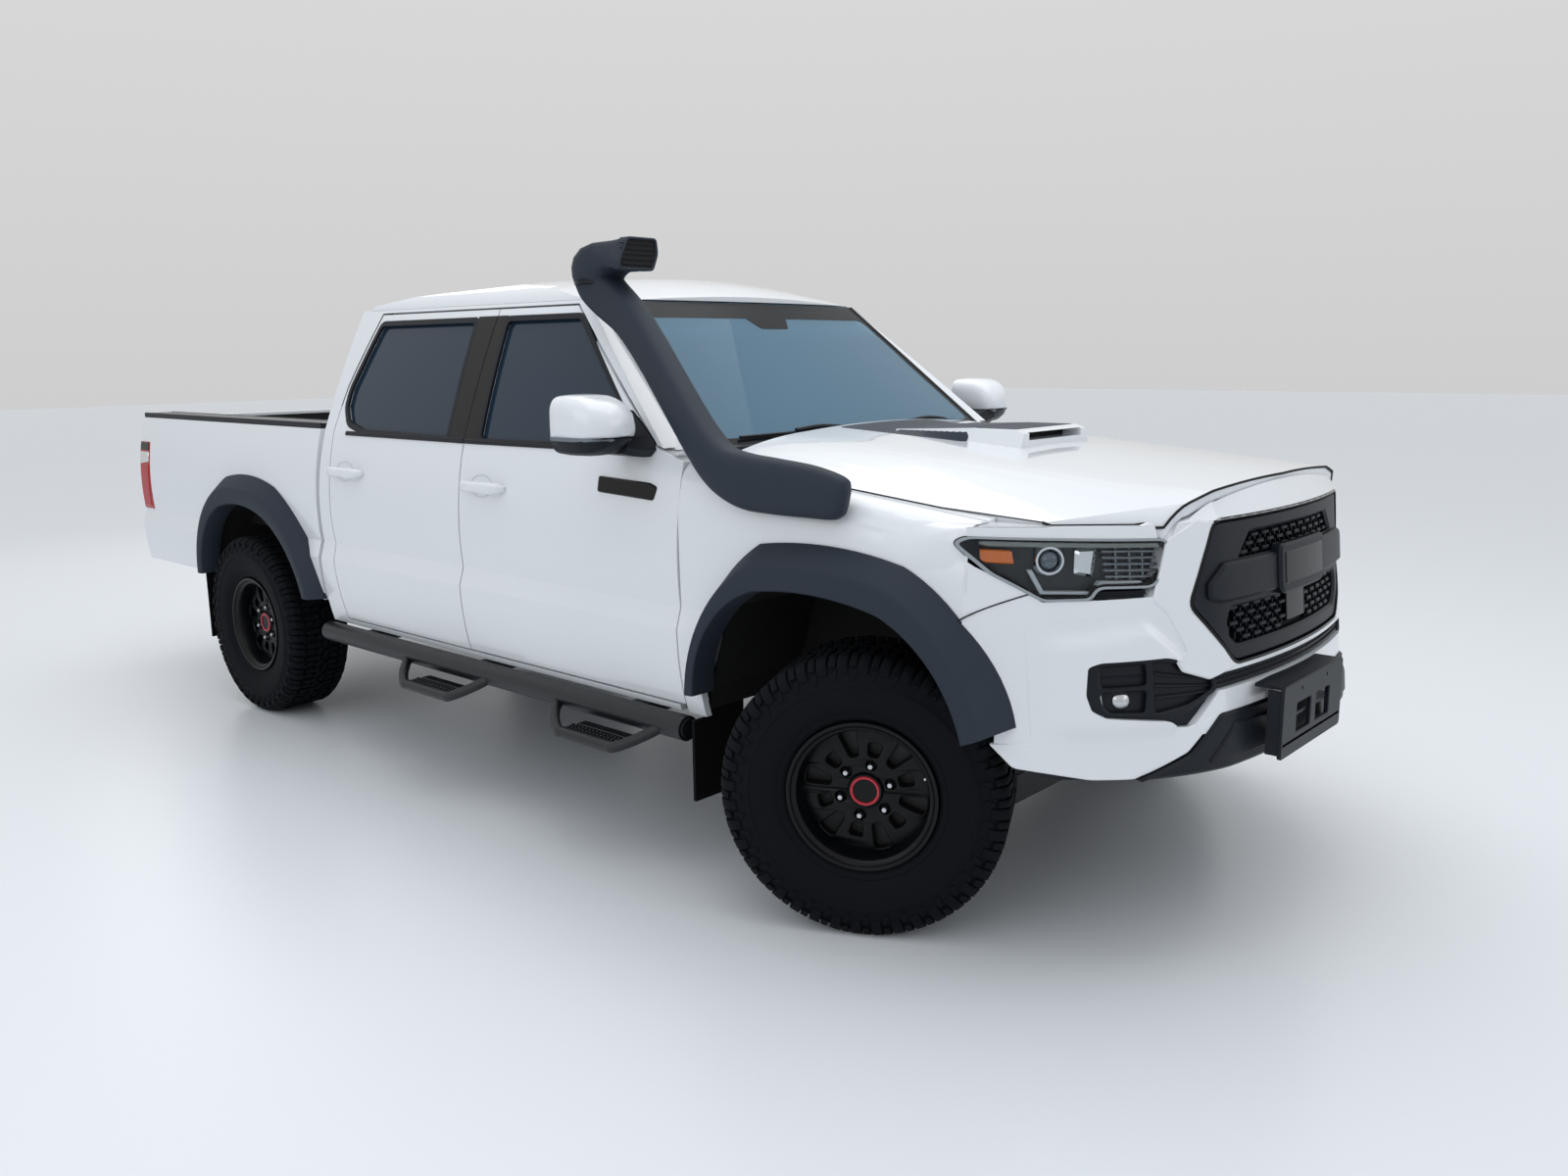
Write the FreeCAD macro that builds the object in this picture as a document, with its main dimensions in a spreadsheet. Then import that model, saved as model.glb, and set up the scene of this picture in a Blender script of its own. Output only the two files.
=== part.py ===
import FreeCAD, Part
import math
import os

import PartDesign
import Sketcher
from FreeCAD import Placement, Rotation, Vector

# A lifted double-cab pickup with four-wheel drive, as it stands parked with its front wheels turned left.
# Frame: X forward, Y to the driver's left, Z up; origin on the ground under the middle of the vehicle.
# All sizes are millimetres. "Reach" sizes are measured along X from the front axle.

doc = FreeCAD.newDocument("pickup")
sheet = doc.addObject("Spreadsheet::Sheet", "sizes")

SIZES = {
    # whole vehicle
    "front_reach": 945, "wheelbase": 3236, "half_track": 800, "cab_reach": 2620,
    "bed_gap": 26, "bed_length": 1700, "bumper_reach": 140, "steer_rest": 27,
    # wheels and tyres
    "tyre_radius": 382, "tyre_half_width": 132, "shoulder_cut": 22,
    "rim_radius": 203, "rim_half": 112, "barrel_wall": 8, "fit_gap": 0.3,
    "window_count": 12, "window_turn": 18, "window_foot_radius": 92, "short_window": 130, "long_window": 166,
    "hub_face": 15, "disc_far": 50, "cap_radius": 45, "cap_proud": 14,
    # steering and suspension
    "kingpin_inset": 100, "upright_half": 130, "upright_wide": 30, "arm_thick": 28,
    "arm_drop": 147, "arm_rise": 147, "axle_tube": 45, "spring_place": 520, "spring_wide": 70,
    # ladder frame
    "rail_place": 400, "rail_wide": 70, "rail_base": 480, "rail_tall": 120, "rail_kick": 135,
    # cab section, seen from the front: height and half width at each break of the side
    "sill_high": 480, "sill_half": 862, "waist_high": 735, "waist_half": 900,
    "ledge_high": 800, "ledge_half": 881, "belt_high": 1240, "belt_half": 846,
    "eave_high": 1690, "eave_half": 662, "roof_rise": 104, "roof_round": 4220,
    "floor_high": 610, "floor_thick": 30, "wall_low": 135, "wall_high": 75,
    "screen_lean": 544, "firewall_reach": 540, "firewall_thick": 60,
    # doors
    "door_gap": 6, "door_low": 90, "door_high": 38,
    "front_cut": 575, "centre_cut": 1660, "rear_cut": 2536, "door_foot": 505, "door_head": 1672,
    "window_foot": 1243, "window_head": 1634,
    # front end
    "nose_reach": 893, "nose_half": 905, "skin": 22, "nose_thick": 50, "nose_lean": 55,
    "lip_lean": 108, "lip_foot": 1112, "lip_high": 1200, "bumper_foot": 600, "valance_foot": 508,
    "hood_rear": 520, "hood_cowl_high": 1291, "hood_fall": 0.0756, "hood_thick": 24,
    "edge_high": 1212, "edge_fall": 0.104,
    "hood_half": 772, "bulge_half": 385, "fender_rear": 569, "fascia_rear": 397,
    "fender_half": 884.8, "fender_break": 960,
    # load bed
    "bed_floor": 775, "bed_inner_half": 720, "bed_foot": 560, "tub_half": 540, "tub_skin": 22,
    "gate_thick": 52, "gate_half": 712, "gate_foot": 735, "flare_half": 948,
    # snorkel, steps
    "duct_radius": 47, "step_tube": 38, "step_rod": 17, "plate_hole": 3.5, "plate_pitch": 177.8,
}


class Size:
    """A number that remembers the cells it came from, so that a property can be bound to them."""

    def __init__(self, value, text):
        self.value, self.text = value, text

    def joined(self, other, sign, swap=False):
        value, text = (other.value, other.text) if isinstance(other, Size) else (other, repr(other))
        a, b = ((value, text), (self.value, self.text)) if swap else ((self.value, self.text), (value, text))
        result = {"+": a[0] + b[0], "-": a[0] - b[0], "*": a[0] * b[0]}[sign]
        return Size(result, f"({a[1]} {sign} {b[1]})")

    def __add__(self, other):
        return self.joined(other, "+")

    def __radd__(self, other):
        return self.joined(other, "+", True)

    def __sub__(self, other):
        return self.joined(other, "-")

    def __rsub__(self, other):
        return self.joined(other, "-", True)

    def __mul__(self, other):
        return self.joined(other, "*")

    __rmul__ = __mul__

    def __neg__(self):
        return self * -1.0


def value_of(x):
    return x.value if isinstance(x, Size) else x


for row, (alias, amount) in enumerate(SIZES.items(), 1):
    sheet.set(f"A{row}", alias)
    sheet.set(f"B{row}", str(amount))
    sheet.setAlias(f"B{row}", alias)
doc.recompute()


def cell(alias):
    return Size(float(getattr(sheet, alias)), f"sizes.{alias}")


class Named:
    """The cells as attributes: S.wheelbase is the wheelbase."""

    def __getattr__(self, alias):
        return cell(alias)


S = Named()
TOTAL = S.front_reach + S.cab_reach + S.bed_gap + S.bed_length + S.bumper_reach
FRONT_AXLE = TOTAL * 0.5 - S.front_reach
REAR_AXLE = FRONT_AXLE - S.wheelbase
CAB_BACK = FRONT_AXLE - S.cab_reach
BED_FRONT = CAB_BACK - S.bed_gap
BED_END = BED_FRONT - S.bed_length
AXLE_HIGH = S.tyre_radius
nodes = {}


def at(reach):
    """The X of a place that lies so far ahead of the front axle."""
    return FRONT_AXLE + reach


def bind(obj, prop, x):
    if isinstance(x, Size):
        obj.setExpression(prop, x.text)
    else:
        setattr(obj, prop, x)


def place(obj, x=0, y=0, z=0, rotation=None):
    """Puts an object at a point whose parts may be bound to cells."""
    obj.Placement = Placement(Vector(value_of(x), value_of(y), value_of(z)), rotation or Rotation())
    for axis, part in (("x", x), ("y", y), ("z", z)):
        if isinstance(part, Size):
            obj.setExpression(f"Placement.Base.{axis}", part.text)
    return obj


def keep(name, obj):
    """Registers an object as the sub-part of that name."""
    obj.Label = name
    nodes[name] = obj
    return obj


def box(name, x, y, z):
    """A box between two places on each axis; each argument is a pair."""
    obj = doc.addObject("Part::Box", name)
    for prop, pair in (("Length", x), ("Width", y), ("Height", z)):
        bind(obj, prop, pair[1] - pair[0])
    return place(obj, x[0], y[0], z[0])


AXIS_TURN = {"x": Rotation(Vector(0, 1, 0), 90), "y": Rotation(Vector(1, 0, 0), -90), "z": Rotation()}


def round_bar(name, radius, sides):
    """A cylinder, or an even prism of so many sides where a round face isn't needed."""
    obj = doc.addObject("Part::Prism" if sides else "Part::Cylinder", name)
    if sides:
        obj.Polygon = sides
    bind(obj, "Circumradius" if sides else "Radius", radius)
    return obj


def rod(name, radius, axis, start, length, sides=0):
    """A round bar along an axis from a start point."""
    obj = round_bar(name, radius, sides)
    bind(obj, "Height", length)
    return place(obj, *start, AXIS_TURN[axis])


def leaning_rod(name, radius, start, end, sides=0):
    """A round bar between two points that lie on no common axis."""
    a, b = (Vector(*[value_of(c) for c in p]) for p in (start, end))
    obj = round_bar(name, radius, sides)
    obj.Height = (b - a).Length
    return place(obj, *start, Rotation(Vector(0, 0, 1), b - a))


PLANE_TURN = {
    "XZ": Rotation(Vector(1, 0, 0), 90),
    "YZ": Rotation(Vector(1, 1, 1), 120),
    "XY": Rotation(),
}


def draw(sketch, points):
    """Closed outline: each point is (u, v), or (u, v, via_u, via_v) when an arc through via leads to it."""
    numbers = [[value_of(c) for c in p] for p in points]
    count, ends = len(points), []
    for i, p in enumerate(numbers):
        a, b = Vector(*numbers[i - 1][:2]), Vector(*p[:2])
        if len(p) == 2:
            ends.append((sketch.addGeometry(Part.LineSegment(a, b), False), 1, 2))
        else:
            via = Vector(*p[2:])
            if ((via - a).cross(b - via)).z > 0:
                ends.append((sketch.addGeometry(Part.Arc(a, via, b), False), 1, 2))
            else:
                ends.append((sketch.addGeometry(Part.Arc(b, via, a), False), 2, 1))
    for i in range(count):
        after = ends[(i + 1) % count]
        sketch.addConstraint(Sketcher.Constraint("Coincident", ends[i][0], ends[i][2], after[0], after[1]))
    for point, (index, first, last) in zip(points, ends):
        for kind, part in zip(("DistanceX", "DistanceY"), point):
            row = sketch.addConstraint(Sketcher.Constraint(kind, -1, 1, index, last, value_of(part)))
            if isinstance(part, Size):
                sketch.setExpression(f"Constraints[{row}]", part.text)


def prism(name, plane, low, high, points):
    """An outline in the named plane, drawn out between two places on the third axis."""
    sketch = doc.addObject("Sketcher::SketchObject", name + "_outline")
    foot = {"XZ": (0, high, 0), "YZ": (low, 0, 0), "XY": (0, 0, low)}[plane]
    place(sketch, *foot, PLANE_TURN[plane])
    draw(sketch, points)
    obj = doc.addObject("Part::Extrusion", name)
    obj.Base, obj.DirMode, obj.Solid = sketch, "Normal", True
    bind(obj, "LengthFwd", high - low)
    return obj


def leaning_prism(name, plane, pivot, points, run, rise):
    """An outline of an upright or level plane at pivot (x, z), drawn out so far along X for so much rise."""
    length = math.hypot(value_of(run), value_of(rise))
    if plane == "YZ":
        share, turn = value_of(run) / length, -math.atan2(value_of(rise), value_of(run))
        level, tilted = pivot[1], lambda u, v: (u, (v - pivot[1]) * share)
    else:
        share, turn = value_of(rise) / length, math.atan2(value_of(run), value_of(rise))
        level, tilted = pivot[1], lambda u, v: ((u - pivot[0]) * share, v)
    sketch = doc.addObject("Sketcher::SketchObject", name + "_outline")
    place(sketch, pivot[0], 0, level, Rotation(Vector(0, 1, 0), math.degrees(turn)) * PLANE_TURN[plane])
    draw(sketch, [tilted(*p[:2]) + (tilted(*p[2:]) if len(p) == 4 else ()) for p in points])
    obj = doc.addObject("Part::Extrusion", name)
    obj.Base, obj.DirMode, obj.Solid = sketch, "Normal", True
    obj.LengthFwd, obj.LengthRev = length + 60, 60
    return obj


def common(name, first, *others):
    """What several pieces share."""
    for number, other in enumerate(others):
        obj = doc.addObject("Part::Common", name if number == len(others) - 1 else f"{name}_step_{number}")
        obj.Base, obj.Tool = first, other
        first = obj
    return first


def joined(name, *parts):
    obj = doc.addObject("Part::MultiFuse", name)
    obj.Shapes = list(parts)
    return obj


def cut(name, base, *tools):
    obj = doc.addObject("Part::Cut", name)
    obj.Base = base
    obj.Tool = tools[0] if len(tools) == 1 else joined(name + "_tools", *tools)
    return obj


def shared(name, a, b):
    obj = doc.addObject("Part::Common", name)
    obj.Base, obj.Tool = a, b
    return obj


def mirrored(name, source):
    """The same piece on the other side of the vehicle."""
    obj = doc.addObject("Part::Mirroring", name)
    obj.Source, obj.Base, obj.Normal = source, Vector(0, 0, 0), Vector(0, 1, 0)
    return obj


def group(name, *parts):
    """Pieces that don't touch and share a node."""
    obj = doc.addObject("Part::Compound", name)
    obj.Links = list(parts)
    return obj


def pair(name, right):
    """A right-hand piece and its mirror image in one node."""
    return keep(name, group(name, right, mirrored(name + "_left", right)))


def flank(low=0, high=0, curved=True):
    """The side of the body from sill to eave, as outline points on the right-hand side (negative Y)."""
    up = [(-(S.sill_half - low), S.sill_high)]
    up += [(-(S.waist_half - low), S.waist_high,
            -((S.sill_half + S.waist_half) * 0.5 + 9 - low), (S.sill_high + S.waist_high) * 0.5)]
    up += [(-(S.ledge_half - low), S.ledge_high)]
    up += [(-(S.belt_half - low), S.belt_high, -(S.ledge_half + 5 - low), S.ledge_high + 210)]
    if value_of(low) != value_of(high):
        up += [(-(S.belt_half - high), S.belt_high)]
    up += [(-(S.eave_half - high), S.eave_high,
            -((S.belt_half + S.eave_half) * 0.5 + 8 - high), (S.belt_high + S.eave_high) * 0.5)]
    return up if curved else [p[:2] for p in up]


def straightened(points):
    """The same outline with each arc as two straight runs, for faces that stay out of sight."""
    out = []
    for p in points:
        out += [tuple(p[2:]), tuple(p[:2])] if len(p) == 4 else [p]
    return out


def returned(points):
    """The same outline points walked the other way."""
    back = []
    for i in range(len(points) - 1, -1, -1):
        via = () if i == len(points) - 1 or len(points[i + 1]) == 2 else tuple(points[i + 1][2:])
        back.append(tuple(points[i][:2]) + via)
    return back


def side_slab(name, rear, front, near, far, curved=False):
    """The right-hand body side between two depths below the flank; near and far are (low, high) pairs."""
    return prism(name, "YZ", rear, front, flank(*near) + returned(flank(*far, curved)))


def other_way(points):
    """Outline points of the right-hand side carried over to the left."""
    return [(-p[0], p[1]) + ((-p[2], p[3]) if len(p) == 4 else ()) for p in points]


def both_sides(points, over=()):
    """A closed outline from its right-hand half; over is a point of the arc that joins the two halves."""
    back = returned(other_way(points))
    back[0] = tuple(back[0][:2]) + tuple(over)
    return points + back


def swapped(points):
    """An outline with its two coordinates the other way round."""
    return [(p[1], p[0]) + ((p[3], p[2]) if len(p) == 4 else ()) for p in points]


def plane_sketch(body, name, role):
    """An empty sketch on one of the body's own origin planes."""
    planes = {f.Role: f for f in body.Origin.OriginFeatures}
    sketch = body.newObject("Sketcher::SketchObject", name)
    sketch.AttachmentSupport, sketch.MapMode = [(planes[role], "")], "FlatFace"
    return sketch, planes


# TYRES AND WHEELS, about their own centre with the axle along Y and the outer face towards -Y
TYRE_SIDES, RIM_SIDES = 48, 30
bead, half = S.rim_radius + S.fit_gap, S.tyre_half_width
drum = rod("tyre_drum", S.tyre_radius, "y", (0, -half, 0), half * 2, TYRE_SIDES)
doc.recompute()
rims = [number for number, edge in enumerate(drum.Shape.Edges, 1)
        if abs(edge.Vertexes[0].Point.y - edge.Vertexes[-1].Point.y) < 0.001]
shoulder = doc.addObject("Part::Chamfer", "tyre_shoulder")
shoulder.Base = drum
shoulder.Edges = [(number, S.shoulder_cut.value, S.shoulder_cut.value) for number in rims]
tyre = cut("tyre_form", shoulder, rod("tyre_bore", bead, "y", (0, -(half + 1), 0), half * 2 + 2, RIM_SIDES))
barrel = S.rim_radius - S.barrel_wall
windows = doc.addObject("Sketcher::SketchObject", "window_outlines")
place(windows, 0, 0, 0, PLANE_TURN["XZ"])
for number in range(int(S.window_count.value)):
    turn = 2 * math.pi * number / S.window_count.value + math.radians(S.window_turn.value)
    cos, sin = math.cos(turn), math.sin(turn)
    head, wide = (S.long_window, 27) if number % 2 else (S.short_window, 21)
    near = S.window_foot_radius
    draw(windows, [(r * cos - w * sin, r * sin + w * cos)
                   for r, w in ((near, -15), (head, -wide), (head, wide), (near, 15))])
window_bars = doc.addObject("Part::Extrusion", "window_bars")
window_bars.Base, window_bars.DirMode = windows, "Normal"
window_bars.Solid, window_bars.Symmetric = True, True
bind(window_bars, "LengthFwd", (S.disc_far + 10) * 2)
rim = joined("rim_form", cut(
    "rim_disc", rod("rim_drum", S.rim_radius, "y", (0, -S.rim_half, 0), S.rim_half * 2, RIM_SIDES),
    rod("rim_back", barrel, "y", (0, -S.hub_face, 0), S.rim_half + S.hub_face + 1, RIM_SIDES),
    rod("rim_dish", barrel, "y", (0, -(S.rim_half + 1), 0), S.rim_half + 1 - S.disc_far, RIM_SIDES),
    window_bars),
    rod("rim_cap", S.cap_radius, "y", (0, -(S.disc_far + S.cap_proud), 0), S.cap_proud + 5, 12))

CORNERS = {"front_right": (1, -1), "front_left": (1, 1), "rear_right": (-1, -1), "rear_left": (-1, 1)}
INSET = S.kingpin_inset
SIN_STEER = Size(math.sin(math.radians(S.steer_rest.value)), "sin(sizes.steer_rest)")
COS_STEER = Size(math.cos(math.radians(S.steer_rest.value)), "cos(sizes.steer_rest)")


def put_wheel_piece(name, source, end, side):
    """A tyre or wheel at its corner, turned with the steering at the front and about face on the left."""
    piece = keep(name, group(name, source))
    turn = S.steer_rest + (180 if side > 0 else 0) if end > 0 else Size(180.0 if side > 0 else 0.0, "0")
    rotation = Rotation(Vector(0, 0, 1), turn.value)
    if end > 0:
        place(piece, FRONT_AXLE - INSET * SIN_STEER * side,
              (S.half_track - INSET) * side + INSET * COS_STEER * side, AXLE_HIGH, rotation)
        piece.setExpression("Placement.Rotation.Angle", turn.text)
    else:
        place(piece, REAR_AXLE, S.half_track * side, AXLE_HIGH, rotation)
    return piece


for corner, (end, side) in CORNERS.items():
    put_wheel_piece("tyre_" + corner, tyre, end, side)
    put_wheel_piece("rim_" + corner, rim, end, side)

# STEERING KNUCKLES, about the kingpin at axle height, the outer side towards -Y
upright = box("upright", (-S.upright_wide, S.upright_wide), (-S.upright_wide, S.upright_wide),
              (-S.upright_half, S.upright_half))
hub = rod("hub", 66, "y", (0, -(INSET + S.hub_face - S.fit_gap), 0), INSET + S.hub_face - 20, 8)
disc = rod("brake_disc", 150, "y", (0, -(INSET - 16), 0), 22, 14)
caliper = box("caliper", (70, 168), (-(INSET - 2), -(INSET - 62)), (-70, 70))
caliper_arm = box("caliper_arm", (0, 110), (-(INSET - 42), -(INSET - 62)), (-24, 24))
knuckle_form = joined("knuckle_form", upright, hub, disc, caliper, caliper_arm)
for side, source in ((-1, knuckle_form), (1, mirrored("knuckle_mirrored", knuckle_form))):
    name = "knuckle_" + ("right" if side < 0 else "left")
    piece = keep(name, group(name, source))
    place(piece, FRONT_AXLE, (S.half_track - INSET) * side, AXLE_HIGH,
          Rotation(Vector(0, 0, 1), S.steer_rest.value))
    piece.setExpression("Placement.Rotation.Angle", S.steer_rest.text)

# LADDER FRAME
rail_in, rail_out = S.rail_place - S.rail_wide * 0.5, S.rail_place + S.rail_wide * 0.5
base, top, kick = S.rail_base, S.rail_base + S.rail_tall, S.rail_kick
FRAME_END = BED_END + 86
rail = prism("rail", "XZ", -rail_out, -rail_in, [
    (at(560), base + 40), (at(560), top + 40), (at(-330), top + 40), (at(-480), top), (at(-2700), top),
    (at(-2950), top + kick), (FRAME_END, top + kick), (FRAME_END, base + kick + 25),
    (at(-3000), base + kick + 5), (at(-2760), base), (at(-520), base), (at(-330), base + 40)])
HORN_END = at(778)
horn = box("horn", (at(590), HORN_END), (-rail_out + 30, -rail_in + 10), (base + 50, top + 20))
beam = box("front_beam", (at(540), at(600)), (-rail_out, rail_out), (base + 40, top + 40))
cross = [
    box("cross_gearbox", (at(-1060), at(-990)), (-rail_in, rail_in), (base, base + 60)),
    box("cross_cab", (at(-1760), at(-1690)), (-rail_in, rail_in), (top - 40, top)),
    box("cross_cab_rear", (at(-2560), at(-2490)), (-rail_in, rail_in), (top - 60, top)),
    box("cross_spring", (at(-3620), at(-3550)), (-rail_in, rail_in), (top + kick - 80, top + kick)),
    box("cross_end", (FRAME_END, FRAME_END + 70), (-rail_in, rail_in), (base + kick + 30, top + kick)),
]
pucks = [box(f"body_mount_{n}", (at(x - 30), at(x + 30)), (-rail_out, -rail_in),
             (top, S.floor_high - S.fit_gap))
         for n, x in enumerate((-700, -1500, -2550))]
bracket_rear = box("bumper_bracket", (BED_END - 16, FRAME_END + 20), (-rail_out, -rail_in),
                   (base + kick + 25, base + kick + 100))
frame_side = joined("frame_side", rail, horn, *pucks, bracket_rear)
frame_other = mirrored("frame_side_left", frame_side)
keep("ladder_frame", joined("ladder_frame", frame_side, frame_other, beam, *cross))

# FRONT SUSPENSION: a subframe and two pairs of arms
subframe = box("subframe", (at(-190), at(190)), (-440, 440), (215, 300))
post = box("subframe_post", (at(-60), at(60)), (-rail_out, -rail_in), (300, base + 40 - S.fit_gap))
low_arm = prism("lower_arm", "XY", AXLE_HIGH - S.arm_drop - S.arm_thick * 0.5,
                AXLE_HIGH - S.arm_drop + S.arm_thick * 0.5,
                [(at(-170), -430), (at(170), -430), (at(28), -690), (at(-28), -690)])
high_arm = prism("upper_arm", "XY", AXLE_HIGH + S.arm_rise - S.arm_thick * 0.5,
                 AXLE_HIGH + S.arm_rise + S.arm_thick * 0.5,
                 [(at(-110), -rail_out - 0.2), (at(110), -rail_out - 0.2), (at(25), -690), (at(-25), -690)])
kingpin = -(S.half_track - INSET)
low_ball = rod("lower_ball", 24, "z", (at(0), kingpin, AXLE_HIGH - S.arm_drop - 14), 30.5, 8)
high_ball = rod("upper_ball", 24, "z", (at(0), kingpin, AXLE_HIGH + S.arm_rise - 16.5), 30.5, 8)
half_shaft = rod("half_shaft", 21, "y", (at(0), -650, AXLE_HIGH), 400, 8)
front_diff = box("front_differential", (at(-140), at(150)), (-250, 150), (300, 470))
coil = rod("coil", 52, "z", (at(0), -rail_out - 70, AXLE_HIGH - S.arm_drop + 14), 260)
front_side = joined("suspension_side", post, low_arm, high_arm, low_ball, high_ball, half_shaft)
keep("front_suspension", joined("front_suspension", subframe, front_side, front_diff,
                                mirrored("suspension_side_left", front_side)))

# ENGINE AND GEARBOX as one plain block
engine = joined("engine_form", box("block", (at(-380), at(240)), (-250, 250), (top - 40, 1040)),
                box("gearbox", (at(-1080), at(-370)), (-120, 120), (base + 60 + S.fit_gap, top)),
                box("engine_feet", (at(-120), at(-20)), (-rail_in + S.fit_gap, rail_in - S.fit_gap),
                    (top - 20, top + 30)))
keep("engine_block", engine)

# REAR AXLE with its shaft and brakes, leaf springs above it
axle_half = S.half_track + S.hub_face - S.fit_gap
axle_side = joined("axle_side", rod("axle_tube", S.axle_tube, "y", (REAR_AXLE, -axle_half + 30, AXLE_HIGH),
                                    axle_half - 30, 8),
                   rod("rear_hub", 66, "y", (REAR_AXLE, -axle_half, AXLE_HIGH), 60, 8),
                   rod("rear_brake", 150, "y", (REAR_AXLE, -axle_half + 24, AXLE_HIGH), 72, 14))
diff = rod("rear_differential", 138, "x", (REAR_AXLE - 110, 0, AXLE_HIGH), 230, 8)
shaft = leaning_rod("drive_shaft", 38, (at(-1090), 0, base + 66), (REAR_AXLE + 100, 0, AXLE_HIGH + 20), 8)
keep("rear_axle", joined("rear_axle", axle_side, mirrored("axle_side_left", axle_side), diff, shaft))

spring_low = AXLE_HIGH + S.axle_tube + S.fit_gap
leaf_in, leaf_out = S.spring_place - S.spring_wide * 0.5, S.spring_place + S.spring_wide * 0.5
leaf = prism("leaf", "XZ", -leaf_out, -leaf_in, [
    (at(-2880), 560), (at(-2880), 590), (REAR_AXLE + 70, spring_low + 50), (REAR_AXLE - 70, spring_low + 50),
    (at(-3830), 620), (at(-3830), 590),
    (REAR_AXLE - 70, spring_low), (REAR_AXLE + 70, spring_low)])
hanger_front = box("hanger_front", (at(-2910), at(-2850)), (-560, -rail_out - S.fit_gap), (575, 680))
hanger_rear = box("hanger_rear", (at(-3860), at(-3800)), (-560, -rail_out - S.fit_gap), (605, 710))
spring_side = joined("spring_side", leaf, hanger_front, hanger_rear)
pair("leaf_springs", spring_side)

# CAB SHELL: the cross-section drawn out along the cab, hollowed, with pockets for the doors
cab_back, cab_front = CAB_BACK, at(-600)
floor_top = S.floor_high + S.floor_thick
cab_outer = prism("cab_outer", "YZ", cab_back, cab_front, both_sides(flank()))
cab_profile = prism("cab_profile", "XZ", -960, 960, [
    (cab_back, S.sill_high), (cab_front, S.sill_high), (cab_front, S.belt_high - 4),
    (at(-652), S.belt_high - 4),
    (at(-1194), S.eave_high), (cab_back + 45, S.eave_high), (cab_back + 12, S.belt_high), (cab_back, 1000)])
cab_hollow = prism("cab_hollow", "YZ", cab_back + 70, cab_front + 1,
                   both_sides(flank(S.wall_low, S.wall_high, False)[:-1] + [
                       (-(S.eave_half - S.wall_high), S.eave_high + 1)]))
hollow_profile = prism("hollow_profile", "XZ", -960, 960, [
    (cab_back + 72, floor_top), (cab_front + 2, floor_top), (cab_front + 2, S.belt_high + 40),
    (at(-1240), S.eave_high + 2), (at(-2520), S.eave_high + 2), (cab_back + 86, S.belt_high)])
inside = shared("cab_inside", cab_hollow, hollow_profile)
under = box("floor_recess", (cab_back - 1, cab_front + 1), (-765, 765), (400, S.floor_high))
rear_opening = prism("rear_window_opening", "YZ", cab_back - 20, cab_back + 140, both_sides([
    (-640, 1262), (-566, 1618, -622, 1480)]))


def door_outline(grow, front):
    """The doors' outlines seen from the side, enlarged by grow."""
    g, low, high = grow, S.door_foot - grow, S.door_head + grow
    if front:
        return [(at(-S.centre_cut - g), low), (at(-S.front_cut + g), low), (at(-S.front_cut + g), 1215 + g),
                (at(-700 + g), S.window_foot + 6 + g), (at(-1244 + g), high), (at(-S.centre_cut - g), high)]
    rear = -S.rear_cut - g
    front_line = at(-(S.centre_cut + S.door_gap) + g)
    return [(at(rear + 40), low), (front_line, low), (front_line, high), (at(rear + 118), high),
            (at(rear + 26), 1400 + g), (at(rear), 1240), (at(rear), 900)]


def window_outline(shrink, front):
    """The door windows' outlines seen from the side, made smaller by shrink."""
    s, low, high = shrink, S.window_foot + shrink, S.window_head - shrink
    if front:
        return [(at(-1572 + s), low - 6), (at(-760 - s), low + 6), (at(-1205 - s), high),
                (at(-1596 + s), high)]
    return [(at(-2330 + s), low), (at(-1762 - s), low - 4), (at(-1782 - s), high),
            (at(-2402 + s), high, at(-2396 + s), high)][:3] + [
            (at(-2400 + s), high), (at(-2484 + s), 1392), (at(-2484 + s), 1330), (at(-2440 + s), 1268 + s)]


def side_cut(name, grow, depth_low, depth_high, front):
    """A pocket in the body side as deep as a door."""
    ends = (at(-S.centre_cut - grow - 1), at(-S.front_cut + grow + 1)) if front else (
        at(-S.rear_cut - grow - 1), at(-(S.centre_cut + S.door_gap) + grow + 1))
    slab = side_slab(name + "_slab", ends[0], ends[1], (-20, -20), (depth_low, depth_high))
    return shared(name, slab, prism(name + "_prism", "XZ", -980, -500, door_outline(grow, front)))


pocket_front = side_cut("front_door_pocket", S.door_gap, S.door_low + 6, S.door_high + 6, True)
pocket_rear = side_cut("rear_door_pocket", S.door_gap, S.door_low + 6, S.door_high + 6, False)
hole_front = prism("front_door_hole", "XZ", -980, -400, [
    (at(-1590), 680), (at(-760), 680), (at(-700), 760), (at(-700), 1200), (at(-1170), 1600),
    (at(-1200), 1630), (at(-1590), 1630)])
hole_rear = prism("rear_door_hole", "XZ", -980, -400, [
    (at(-2380), 720), (at(-2300), 680), (at(-1740), 680), (at(-1740), 1630), (at(-2390), 1630),
    (at(-2450), 1400), (at(-2450), 900)])
side_tools = joined("cab_side_tools", pocket_front, pocket_rear, hole_front, hole_rear)
firewall = box("firewall", (at(-S.firewall_reach - S.firewall_thick), at(-S.firewall_reach)), (-744, 744),
               (S.floor_high, S.belt_high - 4))
console = box("tunnel", (at(-1700), cab_front), (-120, 120), (floor_top - 1, floor_top + 110))
cab_block = cut("cab_block", shared("cab_profiled", cab_outer, cab_profile), inside, under, rear_opening,
                side_tools, mirrored("cab_side_tools_left", side_tools))
hinge_post = box("hood_hinge_post", (at(-S.firewall_reach - 2), at(-S.hood_rear) - S.fit_gap), (-736, -690),
                 (1120, 1202))
keep("cab_shell", joined("cab_shell", cab_block, firewall, console, hinge_post,
                         mirrored("hood_hinge_post_left", hinge_post)))

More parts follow.
